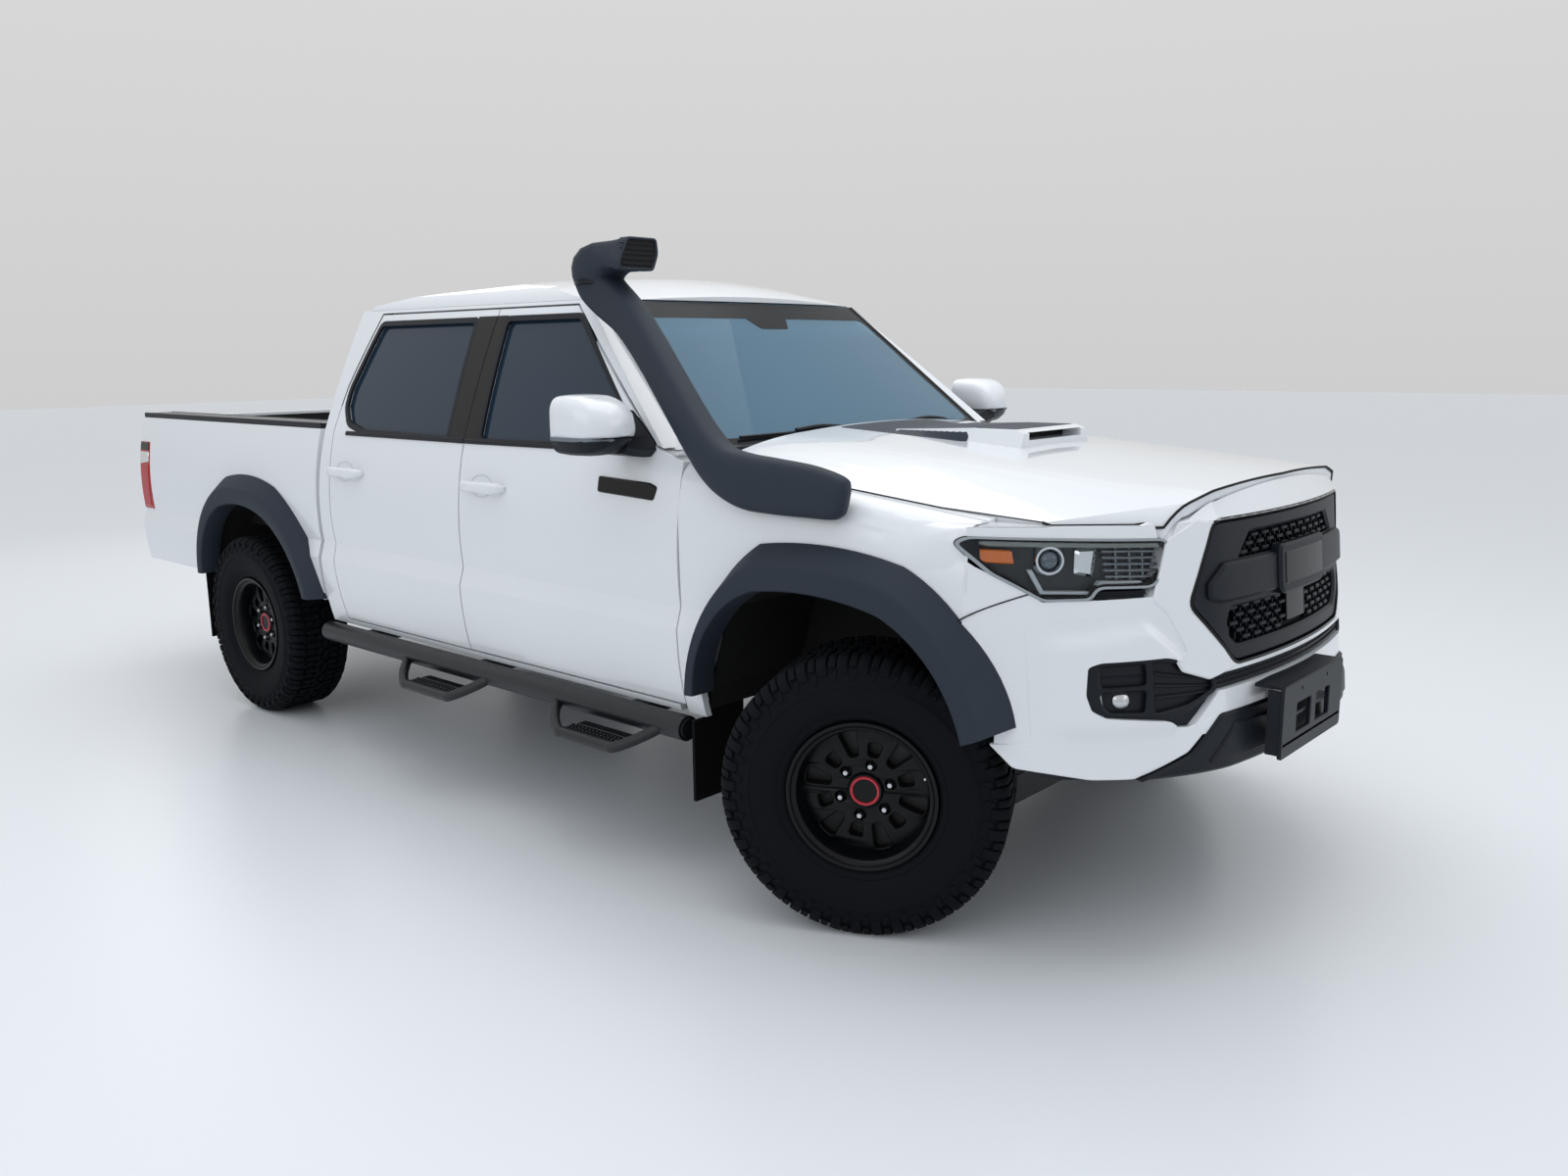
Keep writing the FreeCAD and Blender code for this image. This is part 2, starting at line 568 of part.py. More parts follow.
# ROOF: a lid crowned both ways, with shoulders along its sides
seat_z = S.eave_high + S.fit_gap
crown = seat_z + S.roof_rise
roof_turn = crown - S.roof_round
roof_line = doc.addObject("Sketcher::SketchObject", "roof_line")
place(roof_line, 0, 0, 0, PLANE_TURN["XZ"])
draw(roof_line, [
    (at(-2640), seat_z - 60), (at(-1090), seat_z - 60), (at(-1090), crown - 90), (at(-1190), crown - 54),
    (at(-1390), crown - 15), (at(-1700), crown), (at(-2250), crown - 12), (at(-2500), crown - 36),
    (at(-2592), crown - 92), (at(-2640), seat_z - 30)])
roof_round = doc.addObject("Part::Revolution", "roof_round")
roof_round.Source, roof_round.Axis, roof_round.Angle = roof_line, Vector(1, 0, 0), 22
roof_round.Symmetric, roof_round.Solid = True, True
roof_round.Base = Vector(0, 0, roof_turn.value)
roof_round.setExpression("Base.z", roof_turn.text)
roof_plan = prism("roof_plan", "XY", S.eave_high - 10, S.eave_high + 200, [
    (at(-1172), -700), (at(-1172), 700, at(-1100), 0), (at(-2600), 700), (at(-2600), -700)])
side = S.eave_half
roof_sides = prism("roof_sides", "YZ", at(-2640), at(-1000), both_sides([
    (-side, seat_z), (-(side - 86), seat_z + S.roof_rise * 0.64, -(side - 22), seat_z + S.roof_rise * 0.37),
    (-(side - 300), crown + 20)]))
keep("roof", common("roof", roof_round, roof_plan, roof_sides))

# WINDSHIELD: a thin curved pane between the cowl and the roof
pane_foot, pane_head = S.belt_high - 4 + S.fit_gap, S.eave_high - 4
pane_block = leaning_prism("pane_block", "XY", (at(-558), pane_foot), [
    (at(-645), -790), (at(-645), 790, at(-558), 0), (at(-656), 790), (at(-656), -790, at(-569), 0)],
    S.screen_lean * -1.0, pane_head - pane_foot)
keep("windshield", shared("windshield", pane_block, prism("pane_shape", "YZ", at(-1300), at(-500), [
    (-752, pane_foot), (752, pane_foot), (612, pane_head), (-612, pane_head)])))
keep("rear_window", prism("rear_window", "YZ", cab_back + 22, cab_back + 29, both_sides([
    (-639, 1263), (-565, 1617, -621, 1480)])))

# DOORS with their panes and mirrors
for front, name in ((True, "front"), (False, "rear")):
    rear_x, front_x = (at(-S.centre_cut), at(-S.front_cut)) if front else (
        at(-S.rear_cut), at(-(S.centre_cut + S.door_gap)))
    slab = side_slab(name + "_door_slab", rear_x - 1, front_x + 1, (0, 0), (S.door_low, S.door_high))
    shape = prism(name + "_door_shape", "XZ", -980, -500, door_outline(0, front))
    hole = prism(name + "_window_hole", "XZ", -980, -400, window_outline(0, front))
    door = cut(name + "_door_form", shared(name + "_door_solid", slab, shape), hole)
    keep(f"{name}_door_right", group(f"{name}_door_right", door))
    keep(f"{name}_door_left", mirrored(f"{name}_door_left", door))
    sheet_slab = side_slab(name + "_pane_slab", rear_x, front_x, (13, 13), (18, 18), True)
    glass = shared(name + "_glass_form", sheet_slab,
                   prism(name + "_pane_shape", "XZ", -980, -400, window_outline(S.fit_gap, front)))
    keep(f"{name}_glass_right", group(f"{name}_glass_right", glass))
    keep(f"{name}_glass_left", mirrored(f"{name}_glass_left", glass))

mirror_plan = prism("mirror_plan", "XY", 1228, 1405, [
    (at(-705), -912), (at(-672), -950), (at(-668), -1010), (at(-690), -1066), (at(-735), -1094),
    (at(-812), -1090), (at(-800), -912)])
mirror_face = prism("mirror_face", "YZ", at(-860), at(-600), [
    (-905, 1250), (-905, 1372), (-935, 1398), (-1000, 1405), (-1072, 1398), (-1095, 1372), (-1095, 1262),
    (-1084, 1238), (-1050, 1228), (-940, 1228)])
stalk = cut("mirror_stalk", box("mirror_stalk_block", (at(-800), at(-710)), (-930, -830), (1228, 1262)),
            side_slab("mirror_seat", at(-860), at(-640), (-0.3, -0.3), (300, 300)))
mirror_right = joined("mirror_form", shared("mirror_head", mirror_plan, mirror_face), stalk)
keep("mirror_right", group("mirror_right", mirror_right))
keep("mirror_left", mirrored("mirror_left", mirror_right))

# WHEEL ARCH OUTLINES: share 0 is the flare's inner lip, share 1 its outer rim


def front_arch(share, foot=None):
    k = share
    points = [(at(-468 - 55 * k), 563), (at(-238 - 10 * k), 890 + 124 * k, at(-400 - 28 * k), 776 + 70 * k),
              (at(180 + 45 * k), 880 + 122 * k, at(-20), 906 + 124 * k),
              (at(432 + 83 * k), 604 + 36 * k, at(345 + 70 * k), 765 + 98 * k)]
    return points + ([(at(432 + 83 * k), foot), (at(-468 - 55 * k), foot)] if foot else [])


def rear_arch(share, foot=None):
    k, c = share, REAR_AXLE
    points = [(c - 400 - 70 * k, 565), (c - 165 - 20 * k, 888 + 122 * k, c - 335 - 58 * k, 772 + 74 * k),
              (c + 200 + 48 * k, 872 + 118 * k, c + 20, 904 + 124 * k),
              (c + 508 + 88 * k, 565, c + 400 + 72 * k, 740 + 76 * k)]
    return points + ([(c + 508 + 88 * k, foot), (c - 400 - 70 * k, foot)] if foot else [])


# HOOD: a crowned lid that falls towards its sides and rolls down to the lamps, with a scoop
HIGH = S.hood_cowl_high
HOOD_START = at(-S.hood_rear - 20)


def hood_fill(name, drop, curved=True):
    """All that lies under the hood's outer surface lowered by drop."""
    high, length = HIGH - drop + S.hood_fall * 20, 1370.0
    crest = [(-810, 860), (-810, high - 91), (-S.bulge_half, high - 14, -590, high - 36)]
    if not curved:
        crest = [p[:2] for p in crest] + [(0, high)]
    outline = both_sides(crest, (0, high)) if curved else crest + returned(other_way(crest))[1:]
    crowned = leaning_prism(name + "_crown", "YZ", (HOOD_START, 1200), outline, length,
                            S.hood_fall * -length)
    edge = S.edge_high - drop + S.edge_fall * 20
    slope = [(-812, 850), (-812, edge - 11), (-300, edge + 120) + ((-590, edge + 52) if curved else ())]
    sides = leaning_prism(name + "_sides", "YZ", (HOOD_START, 1200), both_sides(slope), length,
                          S.edge_fall * -length)
    corner = doc.addObject("Sketcher::SketchObject", name + "_corner_line")
    place(corner, at(536), -728, 0, Rotation(Vector(0, 0, 1), 130.8) * PLANE_TURN["XZ"])
    draw(corner, [(-260, 700), (-200, 900 - drop), (0, 1092 - drop), (110, 1198 - drop, 37, 1155 - drop),
                  (700, 1330 - drop), (700, 1500), (-260, 1500)])
    roll = doc.addObject("Part::Extrusion", name + "_corner")
    roll.Base, roll.DirMode, roll.Solid = corner, "Normal", True
    roll.LengthFwd, roll.LengthRev = 900, 900
    rounded = cut(name + "_right", shared(name + "_lid", crowned, sides), roll)
    return cut(name, rounded, mirrored(name + "_corner_left", roll))


def hood_plan(name, grow):
    """The hood's outline seen from above, enlarged by grow, as an upright block."""
    g = grow
    points = both_sides([
        (-(S.hood_half + g), at(-S.hood_rear - g)), (-(S.hood_half - 10 + g), at(250)),
        (-(728 + g), at(536 + g)), (-(556 + g), at(732 + g)), (-(484 + g), at(758 + g)),
        (-384, at(774 + g))], (0, at(792 + g)))
    return prism(name, "XY", 900, 1400, swapped(points))


hood_room = cut("hood_room", hood_plan("hood_plan_wide", 5), hood_fill("room_fill", S.hood_thick + 8, False))
scoop = shared("scoop", prism("scoop_side", "XZ", -240, 240, [
    (at(-330), 1230), (at(125), 1210), (at(125), 1280), (at(95), 1291), (at(-60), 1291), (at(-330), 1280)]),
    prism("scoop_front", "YZ", at(-400), at(200), [(-215, 1200), (215, 1200), (172, 1292), (-172, 1292)]))
scoop_mouth = box("scoop_mouth", (at(60), at(140)), (-150, 150), (1260, 1282))
hood_block = shared("hood_block", hood_fill("lid_fill", 0), hood_plan("hood_plan", 0))
keep("hood", joined("hood", cut("hood_lid", hood_block,
                            hood_fill("under_fill", S.hood_thick, False)),
                    cut("scoop_form", scoop, scoop_mouth)))

# NOSE: plan outlines stacked up with a growing lean
def nose_plan(shift, depth):
    """The nose seen from above at one height, as (Y, X) points, so far below its surface."""
    n, side = S.nose_reach - shift - depth, S.nose_half - depth * 0.88
    return both_sides([
        (-side, at(n - 760)), (-side, at(n - 498)),
        (-(750 - depth * 0.62), at(n - 273 - depth * 0.1), -(side - 52), at(n - 403)),
        (-(400 - depth * 0.3), at(n - 37), -(600 - depth * 0.5), at(n - 134))], (0, at(n)))


def nose(name, low, high, near, far=None):
    """The nose between two heights and two depths below its surface; without far it is filled."""
    levels = [(S.valance_foot, S.fit_gap * 1.0), (S.lip_foot, S.nose_lean), (S.lip_high, S.lip_lean)]
    pieces = []
    for number in range(1 + (value_of(high) > S.lip_foot.value)):
        (z, shift), (z_top, shift_top) = levels[number], levels[number + 1]
        points = nose_plan(shift, near)
        if far is not None:
            points = points + [p if len(p) == 4 and abs(value_of(p[2])) < 1 else p[:2]
                               for p in returned(nose_plan(shift, far))]
        block = leaning_prism(f"{name}_lean_{number}", "XY", (at(S.nose_reach), z), swapped(points),
                              shift - shift_top, z_top - z)
        foot = S.lip_foot if number else low
        head = S.lip_foot if number == 0 and value_of(high) > S.lip_foot.value else high
        pieces.append(shared(f"{name}_part_{number}", block, box(
            f"{name}_range_{number}", (at(S.fascia_rear), at(1000)), (-920, 920), (foot, head))))
    return joined(name, *pieces) if len(pieces) > 1 else pieces[0]


def front_prism(name, points, rear=350):
    """A two-sided outline seen from the front, drawn out along X; points are its right-hand half."""
    return prism(name, "YZ", at(rear), at(1000), both_sides(points))


def lamp_outline(grow):
    """The right headlamp seen from the front, enlarged by grow."""
    g = grow
    return [(-910 - g, 1074), (-880 - g, 1092 + g), (-556, 1080 + g), (-533 + g, 1060 + g), (-548 + g, 1000),
            (-585 + g, 944 - g), (-780, 938 - g), (-868 - g, 1020 - g)]


lip = front_prism("lip_line", [(-930, 590), (-930, 1112), (-600, 1112), (-482, 1166), (-380, 1200)])
grille_hole = front_prism("grille_hole", [(-352, 757), (-498, 915), (-418, S.lip_foot)])
intake_points = [(-420, 700), (-500, 622), (-690, 642), (-700, 786), (-520, 792), (-430, 742)]
intake_hole = front_prism("intake_hole", intake_points)
lamp_hole_right = prism("lamp_hole", "YZ", at(340), at(1000), lamp_outline(S.fit_gap))
arch_void_front = prism("arch_void_front", "XZ", -1000, -450, straightened(front_arch(0.5, 380)))
plate_zone = box("plate_zone", (at(880), at(960)), (-305, 125), (500, 705))
nose_shell = shared("nose_shell", nose("nose_body", S.bumper_foot, S.lip_high, 0, S.nose_thick), lip)
absorber = box("absorber", (HORN_END + S.fit_gap, at(858)), (-rail_out + 30, -rail_in + 10),
               (S.bumper_foot, top + 20))
corner = cut("nose_corner", nose("corner_body", 1086, 1112, 0), doc.getObject("hood_plan_wide"),
             box("corner_core", (at(300), at(900)), (-700, 700), (1000, 1200)))
arch_void_left = mirrored("arch_void_front_left", arch_void_front)
keep("front_bumper", joined("front_bumper", cut(
    "front_skin", joined("front_solid", nose_shell, corner), hood_room, grille_hole, intake_hole,
    lamp_hole_right, mirrored("lamp_hole_left", lamp_hole_right), arch_void_front, arch_void_left),
    shared("absorber_right", absorber, nose("absorber_limit", 520, 800, 20)),
    mirrored("absorber_left", doc.getObject("absorber_right"))))
trim_fill = shared("trim_fill", nose("trim_body", 610, 800, 14, S.nose_thick - 4), front_prism(
    "trim_shape", [(-420, 701), (-500, 623), (-689, 643), (-699, 785), (-520, 791), (-430, 741)]))
valance = nose("valance", S.valance_foot, S.bumper_foot - S.fit_gap, 12, 45)
valance_ends = box("valance_ends", (at(300), at(1000)), (-760, 760), (480, 620))
keep("bumper_trim", joined("bumper_trim", trim_fill, shared("valance_cut", valance, valance_ends),
                           box("trim_post", (at(790), at(814)), (-190, 190), (560, 722)),
                           box("trim_shelf", (at(800), at(846)), (-190, 190), (704, 722)),
                           box("trim_foot", (at(800), at(856)), (-190, 190), (560, 594))))
keep("grille", shared("grille", nose("grille_body", 740, S.lip_foot - S.fit_gap, 8, 36), front_prism(
    "grille_shape", [(-351.8, 757.3), (-497.6, 915), (-417.4, S.lip_foot + 1)])))
lamp = cut("lamp_right", shared("lamp_block", nose("lamp_body", 900, 1150, 3, 46),
                                prism("lamp_shape", "YZ", at(380), at(1000), lamp_outline(0))), hood_room)
pair("headlamps", lamp)
plate_holes = [rod(f"plate_hole_{n}", S.plate_hole, "x", (at(930), -90 + S.plate_pitch * 0.5 * n, 676), 20)
               for n in (-1, 1)]
bracket_plate = cut("bracket_plate", box("bracket_sheet", (at(935), at(945)), (-300, 120), (512, 700)),
                    *plate_holes)
bracket_stay = box("bracket_stay", (at(850), at(940)), (-260, 80), (S.bumper_foot + 4, 640))
keep("plate_bracket", joined("plate_bracket", bracket_plate, cut(
    "bracket_stay_cut", bracket_stay, nose("bracket_limit", 520, 900, -0.3))))


# FRONT FENDERS: an upright lower skin and a shoulder that falls towards the nose
def shoulder_section(d, high, filled=False):
    """The fender's upper line so far below its surface, at its rear end."""
    line = [(-(S.fender_half - d), S.fender_break - 80), (-(S.fender_half - d), high - 157),
            (-(S.fender_half - 15.5 - d), high - 66, -(S.fender_half - 4 - d), high - 111.5),
            (-(S.hood_half + 5), high - d, -(846 - d * 0.8), high - 18 - d * 0.5), (-730, high + 9 - d)]
    return line + [(-730, S.fender_break - 80)] if filled else line


def fender_shoulder(name, points):
    reach = S.fascia_rear + S.fender_rear
    block = leaning_prism(name + "_lean", "YZ", (at(-S.fender_rear), 1150), points, reach,
                          S.edge_fall * -reach.value)
    return shared(name, block, box(name + "_range", (at(-S.fender_rear), at(S.fascia_rear)), (-920, -700),
                                   (S.fender_break, 1300)))


high = S.edge_high + S.edge_fall * 49
lower_line = [(-S.sill_half, S.sill_high), (-S.waist_half, S.waist_high, -890, 607.5),
              (-S.ledge_half, S.ledge_high),
              (-S.fender_half, S.fender_break, -(S.fender_half - 1.5), 880)]
lower_inside = [(-862 + S.skin, S.sill_high), (-S.waist_half + S.skin, S.waist_high, -890 + S.skin, 607.5),
                (-S.ledge_half + S.skin, S.ledge_high),
                (-S.fender_half + S.skin, S.fender_break, -(S.fender_half - 1.5) + S.skin, 880)]
fender_low = prism("fender_low", "YZ", at(-S.fender_rear), at(S.fascia_rear),
                   lower_line + returned(lower_inside))
fender_high = fender_shoulder("fender_high",
                              shoulder_section(0, high) + returned(shoulder_section(S.skin, high)))
fender_fill = fender_shoulder("fender_fill", shoulder_section(-S.fit_gap, high, True))
fender_sheet = joined("fender_skin", fender_low, fender_high)
cowl_clear = box("cowl_clear", (at(-600), at(-S.hood_rear - 4)), (-(S.hood_half + 4), -600), (900, 1300))
fender = cut("fender_right", fender_sheet, arch_void_front, lamp_hole_right, hood_room, cowl_clear)
pair("front_fenders", fender)

# INNER FENDERS: apron walls on the rails and the roofs of the wheel housings
apron = box("apron", (at(-535), at(560)), (-rail_out - 18, -rail_out + 8), (top + 40 + S.fit_gap, 1085))
housing = cut("housing",
              prism("housing_block", "XZ", -836, -rail_out - 17, straightened(front_arch(0.62, 500))),
              prism("housing_void", "XZ", -900, -300, straightened(front_arch(0.5, 400))),
              box("housing_front", (at(S.fascia_rear) - 2, at(600)), (-950, -760), (400, 1200)))
strut = box("fender_stay", (at(-300), at(-240)), (-842, -rail_out), (1020, 1060))
pair("inner_fenders", joined("inner_fender", apron, housing, strut))

# WHEEL FLARES stand off the body side
flare_front = cut("flare_front", prism("flare_front_block", "XZ", -S.flare_half, -800, front_arch(1)),
                  prism("flare_front_void", "XZ", -1000, -700, straightened(front_arch(0, 400))),
                  side_slab("flare_front_seat", at(-700), at(S.fascia_rear), (-0.3, -0.3), (300, 300)),
                  nose("flare_nose_seat", 520, 1150, -0.4))
flare_rear = cut("flare_rear", prism("flare_rear_block", "XZ", -S.flare_half, -830, rear_arch(1)),
                 prism("flare_rear_void", "XZ", -1000, -700, straightened(rear_arch(0, 400))),
                 side_slab("flare_rear_seat", REAR_AXLE - 700, REAR_AXLE + 700, (-0.3, -0.3), (300, 300)))
pair("wheel_flares", joined("flares_right", flare_front, flare_rear))

# LOAD BED
bed_top = S.belt_high
bed_side = prism("bed_side", "YZ", BED_END, BED_FRONT,
                 flank()[:-1] + [(-S.bed_inner_half, bed_top), (-S.bed_inner_half, S.sill_high)])
tub = prism("tub", "XZ", -S.bed_inner_half - 20, -(S.tub_half - S.tub_skin),
            straightened(rear_arch(0.72, S.bed_floor - 20)))
bed_void = prism("arch_void_rear", "XZ", -1000, -S.tub_half, straightened(rear_arch(0.5, 380)))
bed_under = box("bed_underside", (BED_END - 1, BED_FRONT + 1), (-1000, 0), (400, S.bed_foot))
bed_in = -S.bed_inner_half - 20
bed_plate = box("bed_plate", (BED_END + 70, BED_FRONT - 1), (bed_in, 0.0), (S.bed_floor - 30, S.bed_floor))
bed_wall = box("bed_wall", (BED_FRONT - 60, BED_FRONT), (bed_in, 0.0), (S.bed_floor - 30, bed_top))
bed_feet = [box(f"bed_foot_{n}", (at(x - 35), at(x + 35)), (-rail_out, -rail_in),
                (top + kick + S.fit_gap, S.bed_floor - 29)) for n, x in enumerate((-3010, -3700, -4180))]
lamp_seat = box("lamp_seat", (BED_END - 1, BED_END + 102.3), (-960, -767.7), (807.7, 1126.3))
gate_clear = box("gate_clear", (BED_END - 1, BED_END + 62), (-S.gate_half - 8, 0),
                 (S.gate_foot - 8, bed_top + 1))
tub_foot = box("tub_foot", (BED_END + 80, BED_FRONT - 80), (-700, -500), (400, 640))
tub_trimmed = cut("tub_trimmed", tub, tub_foot)
bed_half = cut("bed_half", joined("bed_solid", bed_side, tub_trimmed, bed_plate, bed_wall, *bed_feet),
               bed_void, bed_under, lamp_seat, gate_clear)
keep("bed_box", joined("bed_box", bed_half, mirrored("bed_half_left", bed_half)))
cap_high = bed_top + S.fit_gap
cap_side = box("cap_side", (BED_END, BED_FRONT), (-(S.belt_half - 2), -S.bed_inner_half + 12),
               (cap_high, cap_high + 20))
rail_cap = joined("rail_cap", cap_side,
                  box("cap_front", (BED_FRONT - 60, BED_FRONT), (-(S.bed_inner_half + 10), 0),
                      (cap_high, cap_high + 20)))
keep("bed_rail_caps", joined("bed_rail_caps", rail_cap, mirrored("rail_cap_left", rail_cap)))
tail = shared("tail_lamp", side_slab("tail_slab", BED_END, BED_END + 102, (-2, -2), (70, 70)),
              box("tail_range", (BED_END, BED_END + 102), (-960, -768), (808, 1126)))
pair("tail_lamps", tail)
gate = cut("gate_form", box("gate_block", (BED_END, BED_END + S.gate_thick), (-S.gate_half, S.gate_half),
                            (S.gate_foot, bed_top)),
           box("gate_panel", (BED_END - 1, BED_END + 8), (-520, 520), (850, 1120)))
keep("tailgate", gate)
bumper_end = BED_END - S.bumper_reach
keep("rear_bumper", prism("rear_bumper", "XY", 580, 708, [
    (bumper_end, -560), (bumper_end, 560), (bumper_end + 26, 790), (BED_END - 16 - S.fit_gap, 850),
    (BED_END - 16 - S.fit_gap, -850), (bumper_end + 26, -790)]))

# STEP BARS
bar = rod("step_tube", S.step_tube, "x", (at(-2620), -888, 441), 2080, 8)
stays = [box(f"step_stay_{n}", (at(x - 35), at(x + 35)), (-880, -rail_in), (430, base - S.fit_gap))
         for n, x in enumerate((-800, -1600, -2350))]
hoops = []
for n, (rear, front) in enumerate(((-2014, -1509), (-1133, -645))):
    tread_y, tread_z = -1000, 366
    tread_rear, tread_front = (at(rear + 130), tread_y, tread_z), (at(front - 120), tread_y, tread_z)
    hoops += [
        leaning_rod(f"hoop_rear_{n}", S.step_rod, (at(rear), -900, 436), tread_rear, 6),
        rod(f"hoop_tread_{n}", S.step_rod, "x", tread_rear, front - rear - 250, 6),
        leaning_rod(f"hoop_front_{n}", S.step_rod, (at(front), -900, 436), tread_front, 6)]
pair("step_bars", joined("step_side", bar, *stays, *hoops))

# SNORKEL on the right-hand fender
duct_start, duct_bend = (at(60), -880, 1120), (at(-480), -872, 1234)
duct = joined("duct", leaning_rod("duct_low", S.duct_radius, duct_start, duct_bend, 10),
              leaning_rod("duct_high", S.duct_radius, (at(-455), -876, 1217), (at(-1000), -722, 1752), 10),
              box("duct_base", (at(-240), at(90)), (-912, -820), (1080, 1200)),
              box("duct_head", (at(-1130), at(-860)), (-775, -670), (1752, 1860)))
keep("snorkel", cut("snorkel", duct, fender_fill))

# EXHAUST, SPARE WHEEL, MUDFLAPS
pipe = joined("exhaust_form", rod("pipe_front", 32, "x", (at(-2700), -250, 470), 1500, 8),
              rod("muffler", 95, "x", (at(-2550), -250, 385), 560, 12))
pipe_hanger = rod("pipe_hanger", 12, "z", (at(-2525), -250, 400), 140 - S.fit_gap, 6)
keep("exhaust", joined("exhaust", pipe, pipe_hanger))
spare = cut("spare_form", rod("spare_disc", 366, "z", (at(-3985), 0, 372), 236, 24),
            rod("spare_well", 200, "z", (at(-3985), 0, 360), 120, 14))
spare_hoist = rod("spare_hoist", 22, "z", (at(-3985), 0, 600), 145 - S.fit_gap, 6)
keep("spare_wheel", joined("spare_wheel", spare, spare_hoist))
flap_place = (at(-513), at(-502) - S.fit_gap)
flap = joined("flap", box("flap_low", flap_place, (-905, -700), (232, 476)),
              box("flap_high", flap_place, (-835, -700), (470, 620)))
pair("mudflaps", flap)

# SEATS AND DASHBOARD


def seat(name, x, y_near, y_far, seat_top, back_top):
    side = prism(name, "XZ", y_near, y_far, [
        (at(x - 90), floor_top + S.fit_gap), (at(x + 430), floor_top + S.fit_gap), (at(x + 500), seat_top),
        (at(x + 30), seat_top - 40), (at(x - 130), back_top), (at(x - 230), back_top),
        (at(x - 110), seat_top - 120)])
    return side


pair("front_seats", seat("front_seat", -1500, -620, -150, 920, 1420))
keep("rear_bench", seat("bench", -2270, -600, 600, 900, 1400))
dash = box("dash", (at(-820), at(-600) - S.fit_gap), (-660, 660), (930, 1190))
column = leaning_rod("column", 30, (at(-800), 370, 1080), (at(-960), 370, 1160), 8)
wheel = cut("wheel_ring", rod("wheel_outer", 190, "x", (-14, 0, 0), 28, 16),
            rod("wheel_inner", 162, "x", (-20, 0, 0), 40, 16))
wheel_all = joined("steering_wheel", wheel, box("wheel_spoke", (-10, 10), (-170, 170), (-20, 20)))
place(wheel_all, at(-960), 370, 1160, Rotation(Vector(0, 1, 0), 27))
keep("dashboard", joined("dashboard", dash, column, wheel_all))

# CHECK AND EXPORT
doc.recompute()
faults = [o.Name for o in doc.Objects if {"Invalid", "Error"} & set(o.State)]
if faults:
    raise RuntimeError(f"objects that failed: {faults[:12]}")
os.makedirs("parts", exist_ok=True)
for name, obj in nodes.items():
    shape = obj.Shape
    if shape.isNull() or not shape.isValid() or not shape.Solids:
        raise RuntimeError(f"no valid solid in {name}")
    shape.exportStep(f"parts/{name}.step")
print(f"{len(nodes)} sub-parts")
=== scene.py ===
# %% [markdown]
# # A lifted off-road pickup
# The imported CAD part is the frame: it gives the vehicle its shape, its size and its joints. This
# script gives each CAD piece a finish and builds what the eye looks for around it: tread, wheel
# faces, lamps, grille mesh, glass edges, handles, wipers, steps and the ribs of the load bed.
# Every piece rides on the CAD body that carries it, so one scene is right at every pose of the
# joints. Sizes in the text are millimetres; X points forward, Y to the vehicle's left and Z up.

# %% Setup
import math

import bpy
import numpy as np
from mathutils import Matrix, Vector
from mathutils.bvhtree import BVHTree
from mathutils.geometry import delaunay_2d_cdt, tessellate_polygon


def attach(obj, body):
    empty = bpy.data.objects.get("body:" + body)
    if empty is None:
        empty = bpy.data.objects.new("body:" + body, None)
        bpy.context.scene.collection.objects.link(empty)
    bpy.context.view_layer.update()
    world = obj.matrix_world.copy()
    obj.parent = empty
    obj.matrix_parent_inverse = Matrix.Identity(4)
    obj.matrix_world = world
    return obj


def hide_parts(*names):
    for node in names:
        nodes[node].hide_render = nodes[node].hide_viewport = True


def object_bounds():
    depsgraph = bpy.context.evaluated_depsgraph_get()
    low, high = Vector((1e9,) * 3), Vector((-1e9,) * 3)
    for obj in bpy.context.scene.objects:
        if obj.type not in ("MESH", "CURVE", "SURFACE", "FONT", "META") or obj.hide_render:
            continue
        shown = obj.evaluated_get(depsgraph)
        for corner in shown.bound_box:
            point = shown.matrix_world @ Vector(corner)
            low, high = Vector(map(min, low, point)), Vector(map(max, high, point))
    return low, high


MM = 0.001
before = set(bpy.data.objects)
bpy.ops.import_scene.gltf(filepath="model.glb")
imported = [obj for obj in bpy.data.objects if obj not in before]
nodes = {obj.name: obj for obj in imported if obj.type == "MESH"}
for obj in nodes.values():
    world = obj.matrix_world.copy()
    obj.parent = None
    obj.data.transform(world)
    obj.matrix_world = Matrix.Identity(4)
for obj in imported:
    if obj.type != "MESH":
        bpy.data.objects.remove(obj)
loaded = [list(v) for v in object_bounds()]
FRONT_AXLE, REAR_AXLE, AXLE_HIGH = 1770.5, -1465.5, 382.0
BED_END = FRONT_AXLE - 4346.0
STEER = math.radians(27)
SIDES = ((-1, "right"), (1, "left"))
print(f"{len(nodes)} CAD pieces; box in metres: {[[round(c, 3) for c in v] for v in loaded]}")


def ahead(reach):
    """The X of a place so far ahead of the front axle."""
    return FRONT_AXLE + reach


# %% [markdown]
# ## Finishes
# A finish is a material: one Principled shader whose sockets say how light meets the surface.
# Colours are written in sRGB hex, as on a paint chart, and one function turns them to the linear
# numbers the sockets want. Moulded plastic, rubber and cloth also have a fine relief. An image
# could give it, but a noise texture behind a bump node needs no file and keeps its real size:
# grain is its depth and grain_size its spacing. Real grain is finer than the render can show, so
# it is drawn one to three millimetres wide.


# %% A function for nodes and one for materials
def linear(hex_colour):
    """An sRGB hex colour as linear numbers with an alpha of one."""
    parts = [int(hex_colour[i:i + 2], 16) / 255 for i in (1, 3, 5)]
    return tuple(c / 12.92 if c <= 0.04045 else ((c + 0.055) / 1.055) ** 2.4
                 for c in parts) + (1.0,)


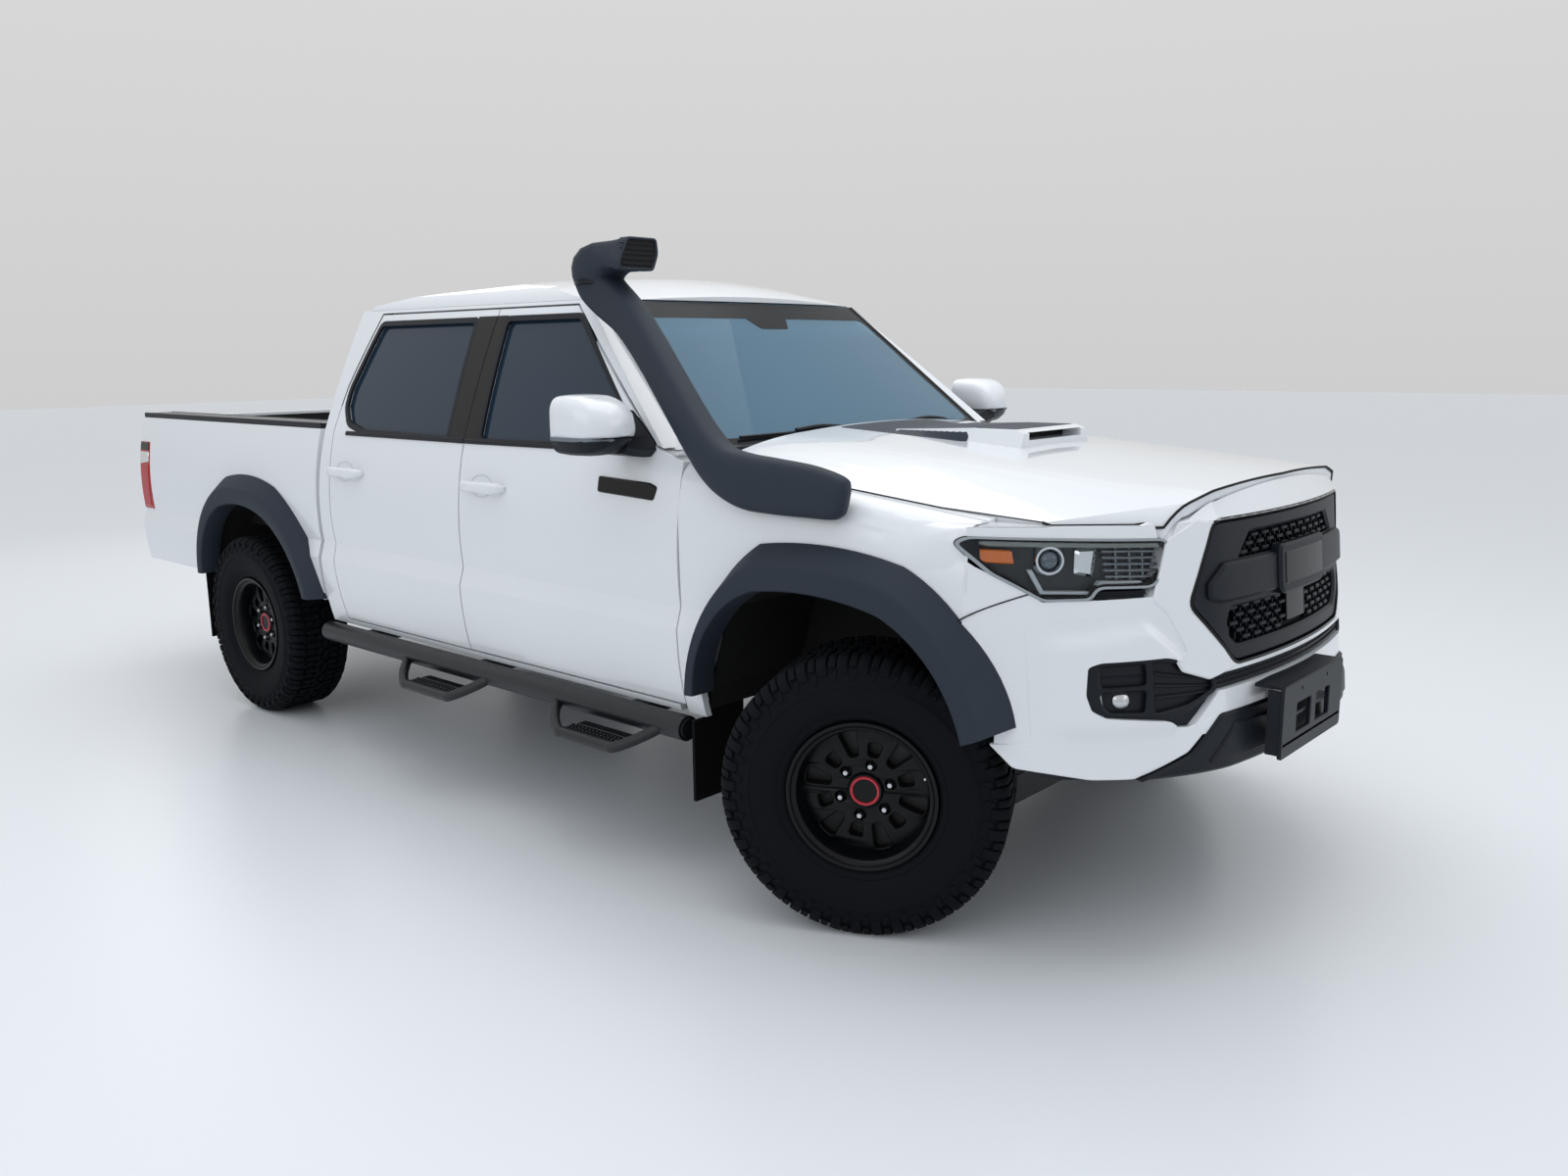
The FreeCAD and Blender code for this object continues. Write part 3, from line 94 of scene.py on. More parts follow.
def add(tree, kind, inputs=(), **settings):
    """One shader node, its settings and its input values or links."""
    node = tree.nodes.new(kind)
    for key, value in settings.items():
        setattr(node, key, value)
    for key, value in dict(inputs).items():
        if isinstance(value, bpy.types.NodeSocket):
            tree.links.new(value, node.inputs[key])
        else:
            node.inputs[key].default_value = value
    return node


def finish(name, colour, rough, metal=0.0, coat=0.0, grain=0.0, grain_size=2.0, **sockets):
    """A material; grain is the depth of a fine bump in millimetres and grain_size its spacing."""
    mat = bpy.data.materials.new(name)
    mat.use_nodes = True
    tree = mat.node_tree
    shader = tree.nodes["Principled BSDF"]
    values = {"Base Color": linear(colour), "Roughness": rough, "Metallic": metal,
              "Coat Weight": coat, "Coat Roughness": 0.04, **sockets}
    for key, value in values.items():
        shader.inputs[key].default_value = value
    if grain:
        place = add(tree, "ShaderNodeTexCoord")
        noise = add(tree, "ShaderNodeTexNoise", {
            "Vector": place.outputs["Object"], "Scale": 1 / (grain_size * MM), "Detail": 3.0,
            "Roughness": 0.6})
        bump = add(tree, "ShaderNodeBump", {
            "Height": noise.outputs["Fac"], "Strength": 0.6, "Distance": grain * MM})
        tree.links.new(bump.outputs["Normal"], shader.inputs["Normal"])
    return mat


def shine(level):
    """The socket that makes a surface reflect less than the default of 0.5."""
    return {"Specular IOR Level": level}


# %% [markdown]
# ### Painted and coated metal
# The body is pressed steel under white enamel and a clear coat. A rough white alone would look
# like chalk; the coat adds the second, sharp reflection that says sprayed paint. The rims are
# cast aluminium in satin black, the steps are powder-coated tube with a faint orange peel, and
# the frame rails are waxed black steel.

# %% Painted and coated metal
# Solid white under clear lacquer: bright, with a sharp reflection over a soft one.
white = finish("clear_coated_white_enamel", "#EDEFF2", 0.28, coat=1.0)
# Cast alloy in satin lacquer: deep black, with a dull glow along the spokes' edges.
wheel_black = finish("satin_painted_aluminium", "#07090C", 0.36, coat=0.04, **shine(0.2))
# Baked powder: a fine orange peel that spreads the highlight along a tube.
powder_black = finish("powder_coated_steel", "#111419", 0.4, grain=0.12, grain_size=1.0)
# Wax over black paint: an even, soft black that hides the underbody's details.
chassis = finish("waxed_frame_steel", "#121314", 0.55)
# Lacquered metal: one thin, bright red line round the wheel's cap.
red_ring = finish("red_lacquered_metal", "#C4122C", 0.3, coat=0.4)
print("painted metal:", white.name, wheel_black.name, powder_black.name, chassis.name,
      red_ring.name)

# %% [markdown]
# ### Moulded plastic
# Flares, snorkel and trim come out of moulds with etched walls, so they scatter light and look
# dark grey. A lower specular level than the default keeps them from shining like paint. The gloss
# pieces are ABS from a polished mould. The lamp pieces are dyed acrylic and polycarbonate, smooth
# enough to flash in the light.

# %% Moulded plastic
# Polypropylene from an etched mould: scatters light, so black looks dark grey; its blue tint is
# painted sky reflection.
flare_black = finish("etched_polypropylene", "#28303B", 0.6, grain=0.25, grain_size=2.2,
                     **shine(0.3))
# Moulded ABS with a faint grain: a satin black.
smooth_black = finish("moulded_abs", "#12171F", 0.42, grain=0.06, grain_size=1.2, **shine(0.25))
# ABS from a polished mould: mirrors the room darkly.
gloss_black = finish("polished_abs", "#08090A", 0.16, **shine(0.3))
# Dyed polycarbonate under a hard coat: a warm glint at the lamp's corner.
amber = finish("amber_polycarbonate", "#E8730E", 0.18, coat=1.0)
# Dyed acrylic: a deep, even red.
red_lens = finish("red_acrylic", "#B30D12", 0.2)
print("plastic:", flare_black.name, smooth_black.name, gloss_black.name, amber.name, red_lens.name)

# %% [markdown]
# ### Rubber and sprayed liner
# Tyre rubber is filled with carbon black, so it has hardly any highlight, only a dull sheen on
# the shoulders. The load bed and the wheel houses have a sprayed liner, which is rougher still
# and swallows light.

# %% Rubber and sprayed liner
# Moulded rubber with carbon black: nearly no highlight; its bluish tint is painted sky reflection.
tyre_black = finish("moulded_tyre_rubber", "#0C0F14", 0.72, grain=0.15, grain_size=1.5,
                    **shine(0.12))
# The same rubber in sheets: flat and duller still.
flap_rubber = finish("moulded_flap_rubber", "#0E0E10", 0.8, grain=0.2, **shine(0.12))
# Sprayed polyurea: coarse, and so rough that it reads as depth.
# The same black is also laid as painted shade: in panel gaps, openings and behind the grille.
deep_black = finish("sprayed_liner_and_painted_shade", "#0A0A0B", 0.85, grain=0.3, grain_size=3.0)
print("rubber and liner:", tyre_black.name, flap_rubber.name, deep_black.name)

# %% [markdown]
# ### Bare metal
# Castings are rough and grey, plated nuts are bright, springs and the exhaust are dulled by
# weather, and a lamp's reflector is chrome. How much a metal reflects comes from its colour, so
# the IOR keeps its default; roughness and colour tell them apart.

# %% Bare metal
# Iron from a sand mould: grey and grainy.
cast = finish("sand_cast_iron", "#4A4B4D", 0.6, metal=0.8, grain=0.3, grain_size=3.0)
# Bright zinc on steel: small bright spots on a black wheel.
steel = finish("zinc_plated_steel", "#C9CBCE", 0.28, metal=1.0)
# Bare steel after some winters: dull and slightly brown.
worn_steel = finish("weathered_steel", "#7B7974", 0.5, metal=1.0)
# Chrome on a moulded bowl: a sharp mirror.
chrome = finish("chromed_reflector", "#E6E8EA", 0.08, metal=1.0)
# Glass with silver behind it: a clean mirror, nearly as bright as the room.
mirror_glass = finish("silvered_mirror_glass", "#D8DCE0", 0.03, metal=1.0)
# Painted sheet aluminium with nothing on it: flat and pale.
plate_blank = finish("bare_plate_aluminium", "#D9DADB", 0.4)
print("metal:", cast.name, steel.name, worn_steel.name, chrome.name, mirror_glass.name,
      plate_blank.name)

# %% [markdown]
# ### Glass, lenses and cabin
# The windshield is laminated glass and lets some light through. The other windows are tinted, and
# in daylight such glass shows what it reflects and nothing behind it, so here it is opaque and
# quicker to render. The lamp covers are clear polycarbonate. Through the windshield the cabin
# shows as dark cloth and moulded trim.

# %% Glass, lenses and cabin
# Clear moulded polycarbonate: the lamp shows through, with a highlight over it. A low IOR bends the
# view less, as a thin shell does.
clear_lens = finish("clear_polycarbonate", "#F2F5F7", 0.04,
                    **{"Transmission Weight": 1.0, "IOR": 1.2})
# Two sheets with a film between: part of the light passes; the rest is pale blue, a painted sky
# reflection.
screen_glass = finish("laminated_glass", "#8CB0C6", 0.02,
                      **{"Transmission Weight": 0.62, "IOR": 1.15})
# Toughened, tinted glass: dark, with the room mirrored in it; its blue is partly tint, partly
# painted sky reflection.
dark_glass = finish("toughened_tinted_glass", "#213242", 0.03, **shine(0.35))
# Ceramic ink fired onto the glass: a flat black rim.
frit = finish("fired_ceramic_border", "#0E1216", 0.3, **shine(0.15))
# Woven cloth: soft, without a highlight. The grain is drawn as coarse as it needs to show.
seat_cloth = finish("woven_seat_cloth", "#1C1D20", 0.9, grain=0.4, grain_size=2.5)
# Moulded trim: an even dark grey.
cabin_trim = finish("moulded_cabin_trim", "#232427", 0.7, grain=0.1)
print("glass and cabin:", clear_lens.name, screen_glass.name, dark_glass.name, frit.name,
      seat_cloth.name)

# %% [markdown]
# ## From points to a piece
# Each piece is a mesh worked out from points. It could be pushed and pulled by hand, but numbers
# can be read, changed and run again. Edges sharper than the crease angle stay sharp and the rest
# is shaded smooth, as on pressed or moulded parts. Tubes, ducts and shells are lofts: a skin of
# faces stretched through rings of points.


# %% Meshes and lofts
def mesh_of(name, verts, faces, material, crease):
    """A mesh from points in millimetres, shaded smooth up to the crease angle."""
    mesh = bpy.data.meshes.new(name)
    mesh.from_pydata([tuple(c * MM for c in v) for v in verts], [], faces)
    mesh.validate()
    mesh.update()
    mesh.shade_smooth()
    mesh.set_sharp_from_angle(angle=math.radians(crease))
    mesh.materials.append(material)
    return mesh


def piece(name, verts, faces, material, body, crease=35.0):
    """An object with a mesh of its own that rides on a body."""
    obj = bpy.data.objects.new(name, mesh_of(name, verts, faces, material, crease))
    bpy.context.scene.collection.objects.link(obj)
    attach(obj, body)
    return obj


def quads(rings, count, around=True, first=0):
    """Faces between rings of points that are listed one after another, from vertex first on."""
    return [(first + r * count + i, first + r * count + (i + 1) % count,
             first + (r + 1) * count + (i + 1) % count, first + (r + 1) * count + i)
            for r in range(rings - 1) for i in range(count if around else count - 1)]


def loft(rings, around=True, capped=True):
    """Vertices and faces of a skin through rings that have equally many points."""
    count = len(rings[0])
    verts = [tuple(p) for ring in rings for p in ring]
    faces = quads(len(rings), count, around)
    if capped:
        faces += [tuple(range(count))[::-1], tuple(range(len(verts) - count, len(verts)))]
    return verts, faces


def merged(parts):
    """Several (vertices, faces) pairs as one."""
    verts, faces = [], []
    for v, f in parts:
        base = len(verts)
        verts += v
        faces += [tuple(i + base for i in face) for face in f]
    return verts, faces


# %% [markdown]
# ## Outlines
# Panels, lamps and trim are drawn as closed outlines of flat points first, as a pattern maker
# would. A curve object could hold them too; plain lists are easier to round, shrink, test and cut
# into short edges.


# %% Outlines
def circle(radius, count=24):
    return [(radius * math.cos(2 * math.pi * i / count), radius * math.sin(2 * math.pi * i / count))
            for i in range(count)]


def divided(loop, step):
    """A closed outline with its long edges cut into short ones."""
    out = []
    for i, p in enumerate(loop):
        q = loop[(i + 1) % len(loop)]
        parts = max(1, int(math.ceil(math.dist(p, q) / step)))
        out += [(p[0] + (q[0] - p[0]) * k / parts, p[1] + (q[1] - p[1]) * k / parts)
                for k in range(parts)]
    return out


def rounded(loop, radius, steps=4):
    """A closed outline with its corners rounded off."""
    out, n = [], len(loop)
    for i in range(n):
        p, a, b = (np.array(loop[k % n], float) for k in (i, i - 1, i + 1))
        da, db = a - p, b - p
        la, lb = np.linalg.norm(da), np.linalg.norm(db)
        cut = min(radius, la * 0.45, lb * 0.45)
        start, end = p + da / la * cut, p + db / lb * cut
        for k in range(steps + 1):
            t = k / steps
            out.append(tuple((1 - t) ** 2 * start + 2 * t * (1 - t) * p + t * t * end))
    return out


def area(loop):
    return 0.5 * sum(p[0] * q[1] - q[0] * p[1] for p, q in zip(loop, loop[1:] + loop[:1]))


def inset(loop, amount):
    """The outline moved to the left of its own direction, corner by corner."""
    pts = np.array(loop, float)
    before, after = np.roll(pts, 1, 0), np.roll(pts, -1, 0)
    e0 = (pts - before) / np.maximum(np.linalg.norm(pts - before, axis=1, keepdims=True), 1e-9)
    e1 = (after - pts) / np.maximum(np.linalg.norm(after - pts, axis=1, keepdims=True), 1e-9)
    n0, n1 = np.stack([-e0[:, 1], e0[:, 0]], 1), np.stack([-e1[:, 1], e1[:, 0]], 1)
    mid = n0 + n1
    length = np.maximum((mid * n0).sum(1, keepdims=True), 0.6)
    return [tuple(p) for p in pts + mid / length * amount]


def inside(x, y, loop):
    """Whether a point lies in a closed outline."""
    found = False
    for (x1, y1), (x2, y2) in zip(loop, loop[1:] + loop[:1]):
        if (y1 > y) != (y2 > y) and x < (x2 - x1) * (y - y1) / (y2 - y1) + x1:
            found = not found
    return found


def spread(loop, amount):
    """A closed outline made larger by an amount, whichever way round it is listed."""
    return inset(loop, -amount if area(loop) > 0 else amount)


# %% [markdown]
# ## Raised patches
# Trim stands a few millimetres off the surface that it sits on and has an eased rim that catches
# the light. A boolean or a displaced copy of the body could give that, but an outline lifted off
# a known surface is cleaner: one wall, one narrow bevel, one face. On a curved surface the face
# gets extra points, a grid apart, so that it follows the curve; a triangulation that keeps the
# outline's edges joins them.


# %% Faces inside an outline
def fill(loops, grid):
    """Triangles over the first outline less the others, with extra points a grid apart."""
    points, edges = [], []
    for loop in loops:
        first = len(points)
        points += [Vector(p) for p in loop]
        edges += [(first + i, first + (i + 1) % len(loop)) for i in range(len(loop))]
    rim = np.array([p[:2] for p in points])
    low, high = rim.min(axis=0), rim.max(axis=0)
    for x in np.arange(low[0] + grid / 2, high[0], grid):
        for y in np.arange(low[1] + grid / 2, high[1], grid):
            if np.abs(rim - (x, y)).sum(axis=1).min() > grid * 0.4:
                points.append(Vector((x, y)))
    found = delaunay_2d_cdt(points, edges, [], 0, 1e-4)
    places, faces = [tuple(p) for p in found[0]], []
    for face in found[2]:
        x, y = np.mean([places[i] for i in face], axis=0)
        if inside(x, y, loops[0]) and not any(inside(x, y, hole) for hole in loops[1:]):
            loop = [places[i] for i in face]
            faces.append(tuple(face) if area(loop) > 0 else tuple(face)[::-1])
    return places, faces


def lid_faces(flat, index):
    """Triangles over an outline and its holes, facing up; index gives each point's vertex."""
    points, faces = [p for loop in flat for p in loop], []
    for a, b, c in tessellate_polygon(flat):
        pa, pb, pc = points[a], points[b], points[c]
        up = (pb.x - pa.x) * (pc.y - pa.y) - (pc.x - pa.x) * (pb.y - pa.y)
        faces.append(tuple(index[k] for k in ((a, b, c) if up > 0 else (a, c, b))))
    return faces


# %% Raised patches and mirrored pairs
def relief_mesh(loops, low, high, bevel, place, grid=None, back=False):
    """Vertices and faces of a raised patch: loops[0] is its rim, the others are holes.

    With a grid its long edges are cut and its face follows a curved surface; back closes its
    underside."""
    if grid:
        loops = [divided(loop, grid) for loop in loops]
    facing = [loops[0] if area(loops[0]) > 0 else loops[0][::-1]]
    facing += [h if area(h) < 0 else h[::-1] for h in loops[1:]]
    verts, faces, top_index, flat = [], [], [], []
    for loop in facing:
        inner = inset(loop, bevel) if bevel else loop
        start, n = len(verts), len(loop)
        rows = [(loop, low), (loop, high)]
        if bevel:
            rows = [(loop, low), (loop, high - bevel), (inner, high)]
        for ring, level in rows:
            verts += [place(u, v, level) for u, v in ring]
        faces += quads(len(rows), n, first=start)
        top_index += [start + (len(rows) - 1) * n + i for i in range(n)]
        flat.append([Vector((u, v, 0)) for u, v in inner])
    if not grid:
        return verts, faces + lid_faces(flat, top_index)
    for level, shapes in ((high, [[(p.x, p.y) for p in loop] for loop in flat]),
                          (low, facing))[:1 + back]:
        points, caps = fill(shapes, grid)
        base = len(verts)
        verts += [place(u, v, level) for u, v in points]
        faces += [tuple(base + i for i in (cap if level == high else cap[::-1])) for cap in caps]
    return verts, faces


def relief(name, loops, low, high, bevel, place, material, body, grid=None):
    """A raised patch as a piece."""
    return piece(name, *relief_mesh(loops, low, high, bevel, place, grid), material, body)


def mirror_mesh(mesh_parts):
    """The same vertices and faces on the other side of the vehicle."""
    verts, faces = mesh_parts
    return [(x, -y, z) for x, y, z in verts], [tuple(face)[::-1] for face in faces]


def pair(name, mesh_parts, material, body="body", **more):
    """A right-hand piece and its mirror image as one object."""
    return piece(name, *merged([mesh_parts, mirror_mesh(mesh_parts)]), material, body, **more)


# %% [markdown]
# ## The CAD pieces
# Most of the body is seen as the CAD part made it, so those pieces only need their finish. It
# could be set by hand for each in Blender's material tab; a table of names keeps it in one place.
# Painted steel is the largest group, and glass is what is left when every other name has been
# looked up.

# %% Finishes of the CAD pieces
PAINTED = ("cab_shell", "roof", "hood", "front_fenders", "front_bumper", "bed_box", "tailgate",
           "rear_bumper", "front_door_right", "front_door_left", "rear_door_right",
           "rear_door_left")
NODE_FINISH = {
    "engine_block": cast, "ladder_frame": chassis, "front_suspension": chassis,
    "rear_axle": chassis, "leaf_springs": worn_steel, "knuckle_right": cast, "knuckle_left": cast,
    "inner_fenders": deep_black, "wheel_flares": flare_black, "bumper_trim": smooth_black,
    "grille": smooth_black, "headlamps": gloss_black, "tail_lamps": red_lens,
    "plate_bracket": smooth_black, "step_bars": powder_black, "snorkel": flare_black,
    "exhaust": worn_steel, "spare_wheel": tyre_black, "mudflaps": flap_rubber,
    "front_seats": seat_cloth, "rear_bench": seat_cloth, "dashboard": cabin_trim,
    "bed_rail_caps": smooth_black, "windshield": screen_glass, "rear_window": dark_glass,
    "mirror_right": white, "mirror_left": white}
WHEEL_FINISH = {"tyre": tyre_black, "rim": wheel_black}
for name, obj in nodes.items():
    material = white if name in PAINTED else WHEEL_FINISH.get(name.split("_")[0])
    obj.data.materials.clear()
    obj.data.materials.append(material or NODE_FINISH.get(name, dark_glass))
print(f"{len(PAINTED)} painted pieces and {len(nodes) - len(PAINTED)} others have their finish")


# %% [markdown]
# ### The cabin side of the panels
# A real door is painted outside and trimmed inside. The CAD piece is one solid, so the faces that
# look into the cabin get a second material slot. Separate trim panels would be truer, but behind
# dark glass only the colour shows. Where a face lies and which way it points tell whether it is
# on the cabin's side.


# %% Cabin side of the panels
def line_with(name, material, inside_test):
    """Give another material to the faces of a CAD piece that lie on the cabin's side."""
    obj = nodes[name]
    obj.data.materials.append(material)
    turn = obj.matrix_world.to_3x3()
    for face in obj.data.polygons:
        if inside_test(obj.matrix_world @ face.center, (turn @ face.normal).normalized()):
            face.material_index = 1


def cabin_face(spot, way):
    """Whether a face of the cab shell is its floor, a pillar's inner side or an inner end wall."""
    if way.z > 0.7:
        return 0.58 < spot.z < 0.72
    if abs(way.y) > 0.5:
        return way.y * spot.y < 0 and spot.z > 0.6
    middle = abs(spot.y) < 0.8 and spot.z > 0.5
    return middle and (way.x > 0.6 and spot.x < -0.6 or way.x < -0.5 and spot.x > 0.9)


# Needled felt under the roof: a pale grey without a highlight.
headlining = finish("needled_headlining_felt", "#AEB1B5", 0.9)
for end in ("front", "rear"):
    line_with(end + "_door_right", cabin_trim, lambda spot, way: way.y > 0.5)
    line_with(end + "_door_left", cabin_trim, lambda spot, way: way.y < -0.5)
line_with("cab_shell", cabin_trim, cabin_face)
line_with("roof", headlining, lambda spot, way: way.z < -0.5)
print("lined with trim: four doors, the cab shell and the roof")

# %% [markdown]
# ## Tyres and wheels
# The wheels are what makes this vehicle look ready for rough ground, so they get the most work.
# One tyre and one wheel are modelled about their own centre with the outer face towards -Y. Four
# objects then share each mesh, turned and moved to their corner. Four copies of the mesh would
# look the same and take four times as much memory.

# %% Places of the four wheels
TYRE_HALF, HUB_OFFSET = 800.0, 100.0
WHEEL_PLACES = {}
for side, word in SIDES:
    half_turn = math.pi if side > 0 else 0.0
    kingpin = TYRE_HALF - HUB_OFFSET
    hub = Vector((FRONT_AXLE - HUB_OFFSET * math.sin(STEER) * side,
                  (kingpin + HUB_OFFSET * math.cos(STEER)) * side, AXLE_HIGH))
    steered = Matrix.Rotation(STEER + half_turn, 4, "Z")
    WHEEL_PLACES["front_" + word] = Matrix.Translation(hub * MM) @ steered
    hub = Vector((REAR_AXLE, TYRE_HALF * side, AXLE_HIGH))
    WHEEL_PLACES["rear_" + word] = Matrix.Translation(hub * MM) @ Matrix.Rotation(half_turn, 4, "Z")
for corner, place in WHEEL_PLACES.items():
    print(corner, "wheel at", [round(c, 3) for c in place.translation])


def on_wheels(name, mesh_parts, material, crease=35.0, node=None):
    """The same mesh at all four wheels; node is the CAD piece that it stands for."""
    mesh = mesh_of(name, *mesh_parts, material, crease)
    for corner, matrix in WHEEL_PLACES.items():
        obj = bpy.data.objects.new(f"{name}_{corner}", mesh)
        bpy.context.scene.collection.objects.link(obj)
        obj.matrix_world = matrix
        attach(obj, "wheel_" + corner)
        if node:
            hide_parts(f"{node}_{corner}")


def turned(profile, steps, closed=True):
    """A profile of (radius, along) points turned about the axle, as vertices and faces."""
    count = len(profile)
    verts = [(r * math.cos(2 * math.pi * i / steps), y, r * math.sin(2 * math.pi * i / steps))
             for i in range(steps) for r, y in profile]
    faces = [(i * count + k, (i + 1) % steps * count + k,
              (i + 1) % steps * count + (k + 1) % count, i * count + (k + 1) % count)
             for i in range(steps) for k in range(count if closed else count - 1)]
    return verts, faces


# %% [markdown]
# ### Tyre
# An all-terrain tyre has a round carcass with a tread of interlocking blocks, a staggered row of
# shoulder blocks and shallow lugs down the sidewall. A bump or a displacement over a torus would
# blur the blocks' edges. Here the carcass is a turned profile and each block a raised patch
# wrapped onto it, repeated for every pitch of the tread. The blocks of the two halves are shifted
# by half a pitch, as on a real tread.

# %% Carcass and ways to wrap onto it
PITCHES, TREAD_R, CROWN_R, FLOOR_R, WALL_R = 40, 376.0, 381.8, 369.5, 345.0
PITCH = 2 * math.pi * TREAD_R / PITCHES
CARCASS = [(204, -100), (214, -109), (224, -113), (227, -112), (230, -115), (252, -122),
           (280, -126.5), (298, -127.5), (300, -129.5), (306, -129.5), (308, -127.8), (328, -127),
           (346, -123.5), (358, -118), (FLOOR_R - 2, -108), (FLOOR_R, -60), (FLOOR_R + 0.8, 0)]
CARCASS = CARCASS + [(r, -y) for r, y in CARCASS[-2::-1]] + [(204, 60), (204, -60)]
RIM_SIDE, LUG_R, LUG_EASE = 15, 380.0, 1.6
print(f"tread pitch {PITCH:.1f} mm, {CROWN_R - FLOOR_R:.1f} mm deep")


def carcass_out(radius):
    """Half-width of the sidewall at a radius."""
    outer = [(r, -y) for r, y in CARCASS[:RIM_SIDE]]
    return float(np.interp(radius, [r for r, _ in outer], [y for _, y in outer]))


def on_tread(angle):
    """Maps (along the ground, across, radius) onto the tread at a pitch."""
    return lambda u, v, w: (w * math.cos(angle + u / TREAD_R), v, w * math.sin(angle + u / TREAD_R))


def on_wall(angle, side):
    """Maps (along, radius, height) onto a sidewall."""
    return lambda u, v, w: (v * math.cos(angle + u / WALL_R), side * (carcass_out(v) + w),
                            v * math.sin(angle + u / WALL_R))


def slice_of(section, start, end, skew=0.12):
    """A (radius, along) section carried from one angle to another, with eased ends."""
    mid, ease = np.mean(np.array(section, float), axis=0), LUG_EASE / LUG_R
    rings = []
    for t, keep in ((start, False), (start + ease, True), (end - ease, True), (end, False)):
        ring = []
        for r, y in section:
            if not keep:
                r, y = (np.array((r, y)) + (mid - (r, y)) * 0.09).tolist()
            a = t + skew * (abs(y) - 100) / LUG_R
            ring.append((r * math.cos(a), y, r * math.sin(a)))
        rings.append(ring)
    return loft(rings)


# %% Tread blocks
CENTRE = [[(1, 3), (17, 2), (21, 9), (36, 9), (37, 26), (24, 29), (17, 22), (3, 24)],
          [(28, -30), (44, -28), (46, -17), (57, -12), (55, 5), (41, 5), (38, -4), (25, -5)],
          [(2, -31), (20, -29), (22, -12), (15, -4), (0, -6), (-3, -19)]]
MIDDLE = [[(2, 31), (19, 36), (24, 47), (20, 68), (6, 69), (1, 52)],
          [(24, 33), (40, 29), (47, 36), (46, 60), (40, 70), (27, 66), (29, 50)]]
SHOULDER = [(FLOOR_R - 4, -76), (CROWN_R, -76), (CROWN_R, -104), (377, -112), (366, -124),
            (352, -131), (338, -130.5), (334, -124), (352, -117)]
SHORT_LUG = [(FLOOR_R - 4, -80), (CROWN_R, -80), (CROWN_R, -103), (376, -112), (364, -124),
             (356, -128.5), (352, -118)]
WALL_LUG = [(31, 346), (47, 346), (56, 322), (43, 318)]
BLOCK = (FLOOR_R - 3, CROWN_R, 1.3)
tyre_parts = [turned(CARCASS, 160)]
for number in range(PITCHES):
    angle = 2 * math.pi * number / PITCHES
    at_pitch = on_tread(angle)
    tyre_parts += [relief_mesh([loop], *BLOCK, at_pitch) for loop in CENTRE]
    for across, shift in ((1, 0.0), (-1, 0.5 * PITCH)):
        for loop in MIDDLE:
            tyre_parts.append(relief_mesh([[(u + shift, across * v) for u, v in loop]], *BLOCK,
                                          at_pitch))
        base = angle + shift / TREAD_R
        for lug, first, last in ((SHOULDER, 2, 30), (SHORT_LUG, 35, 54)):
            facing = [(r, -across * y) for r, y in lug]
            tyre_parts.append(slice_of(facing, base + first / TREAD_R, base + last / TREAD_R))
        tyre_parts.append(relief_mesh([WALL_LUG], -1, 3.2, 1.0, on_wall(base, across)))
on_wheels("tread", merged(tyre_parts), tyre_black, 40.0, "tyre")
print(f"tyre: {len(tyre_parts) - 1} blocks and lugs")

# %% [markdown]
# ### Wheel
# The rim is a cast wheel with twelve windows, short and long in turn, and six nuts round a capped
# hub. Cutting the windows with booleans would leave hard, ragged rims. The face is one outline
# with holes instead, and each hole's wall steps inwards towards the front, which gives the eased
# edges of a casting. The barrel behind it is turned from a profile, and so are the brake, the cap
# and its ring.

# %% Barrel, windows and nut pockets
BARREL = [(202.6, -108), (201, -111.6), (196, -112), (192, -110), (190.5, -106), (185, -101),
          (178, -97.5), (174, -90), (171.5, -60), (171.5, -44), (176, -30), (184, 112),
          (202.6, 112)]
FACE_FOOT, WINDOW_TURN, WINDOWS_ROUND, FACE_R, NUT_R = -22.0, math.radians(18), 12, 175, 69.8


def face_place(u, v, w):
    """Maps a point of the wheel face; w is 0 at its back and 1 at its gently domed front."""
    r = math.hypot(u, v)
    front = float(np.interp(r, [0, 60, 88, 120, 166, 176], [-50, -50, -54, -55, -52, -47]))
    return (u, FACE_FOOT + (front - FACE_FOOT) * w, v)


windows = []
for number in range(WINDOWS_ROUND):
    angle = 2 * math.pi * number / WINDOWS_ROUND + WINDOW_TURN
    head, wide, foot = (163, 25, 12) if number % 2 else (131, 19.5, 13.5)
    outline = rounded([(94, -foot), (head, -wide), (head + 3, 0), (head, wide), (94, foot)], 9, 3)
    windows.append([(r * math.cos(angle) - w * math.sin(angle),
                     r * math.sin(angle) + w * math.cos(angle))
                    for r, w in divided(outline, 14)])
NUTS = [(NUT_R * math.cos(math.pi * k / 3 + WINDOW_TURN),
         NUT_R * math.sin(math.pi * k / 3 + WINDOW_TURN))
        for k in range(6)]
pockets = [[(x + u, z + v) for u, v in circle(15, 18)] for x, z in NUTS]
print(f"wheel face: {len(windows)} windows and {len(pockets)} nut pockets")


# %% Wheel face
def face_mesh():
    """The wheel face with its windows and nut pockets; the eased rims catch the light."""
    loops = [circle(FACE_R, 96)] + windows + pockets
    rows, verts, faces, tops, flat = ((0, 0.0), (0, 0.88), (2.2, 0.97), (5.0, 1.0)), [], [], [], []
    for number, loop in enumerate(loops):
        if (area(loop) > 0) != (number == 0):
            loop = loop[::-1]
        start, n = len(verts), len(loop)
        ease = 0.0 if number == 0 else (0.45 if number > WINDOWS_ROUND else 1.0)
        for amount, level in rows:
            ring = inset(loop, amount * ease) if amount * ease else loop
            verts += [face_place(u, v, level) for u, v in ring]
        faces += quads(len(rows), n, first=start)
        tops += range(start + 3 * n, start + 4 * n)
        flat.append([Vector((u, v, 0)) for u, v in ring])
    return verts, faces + lid_faces(flat, tops)


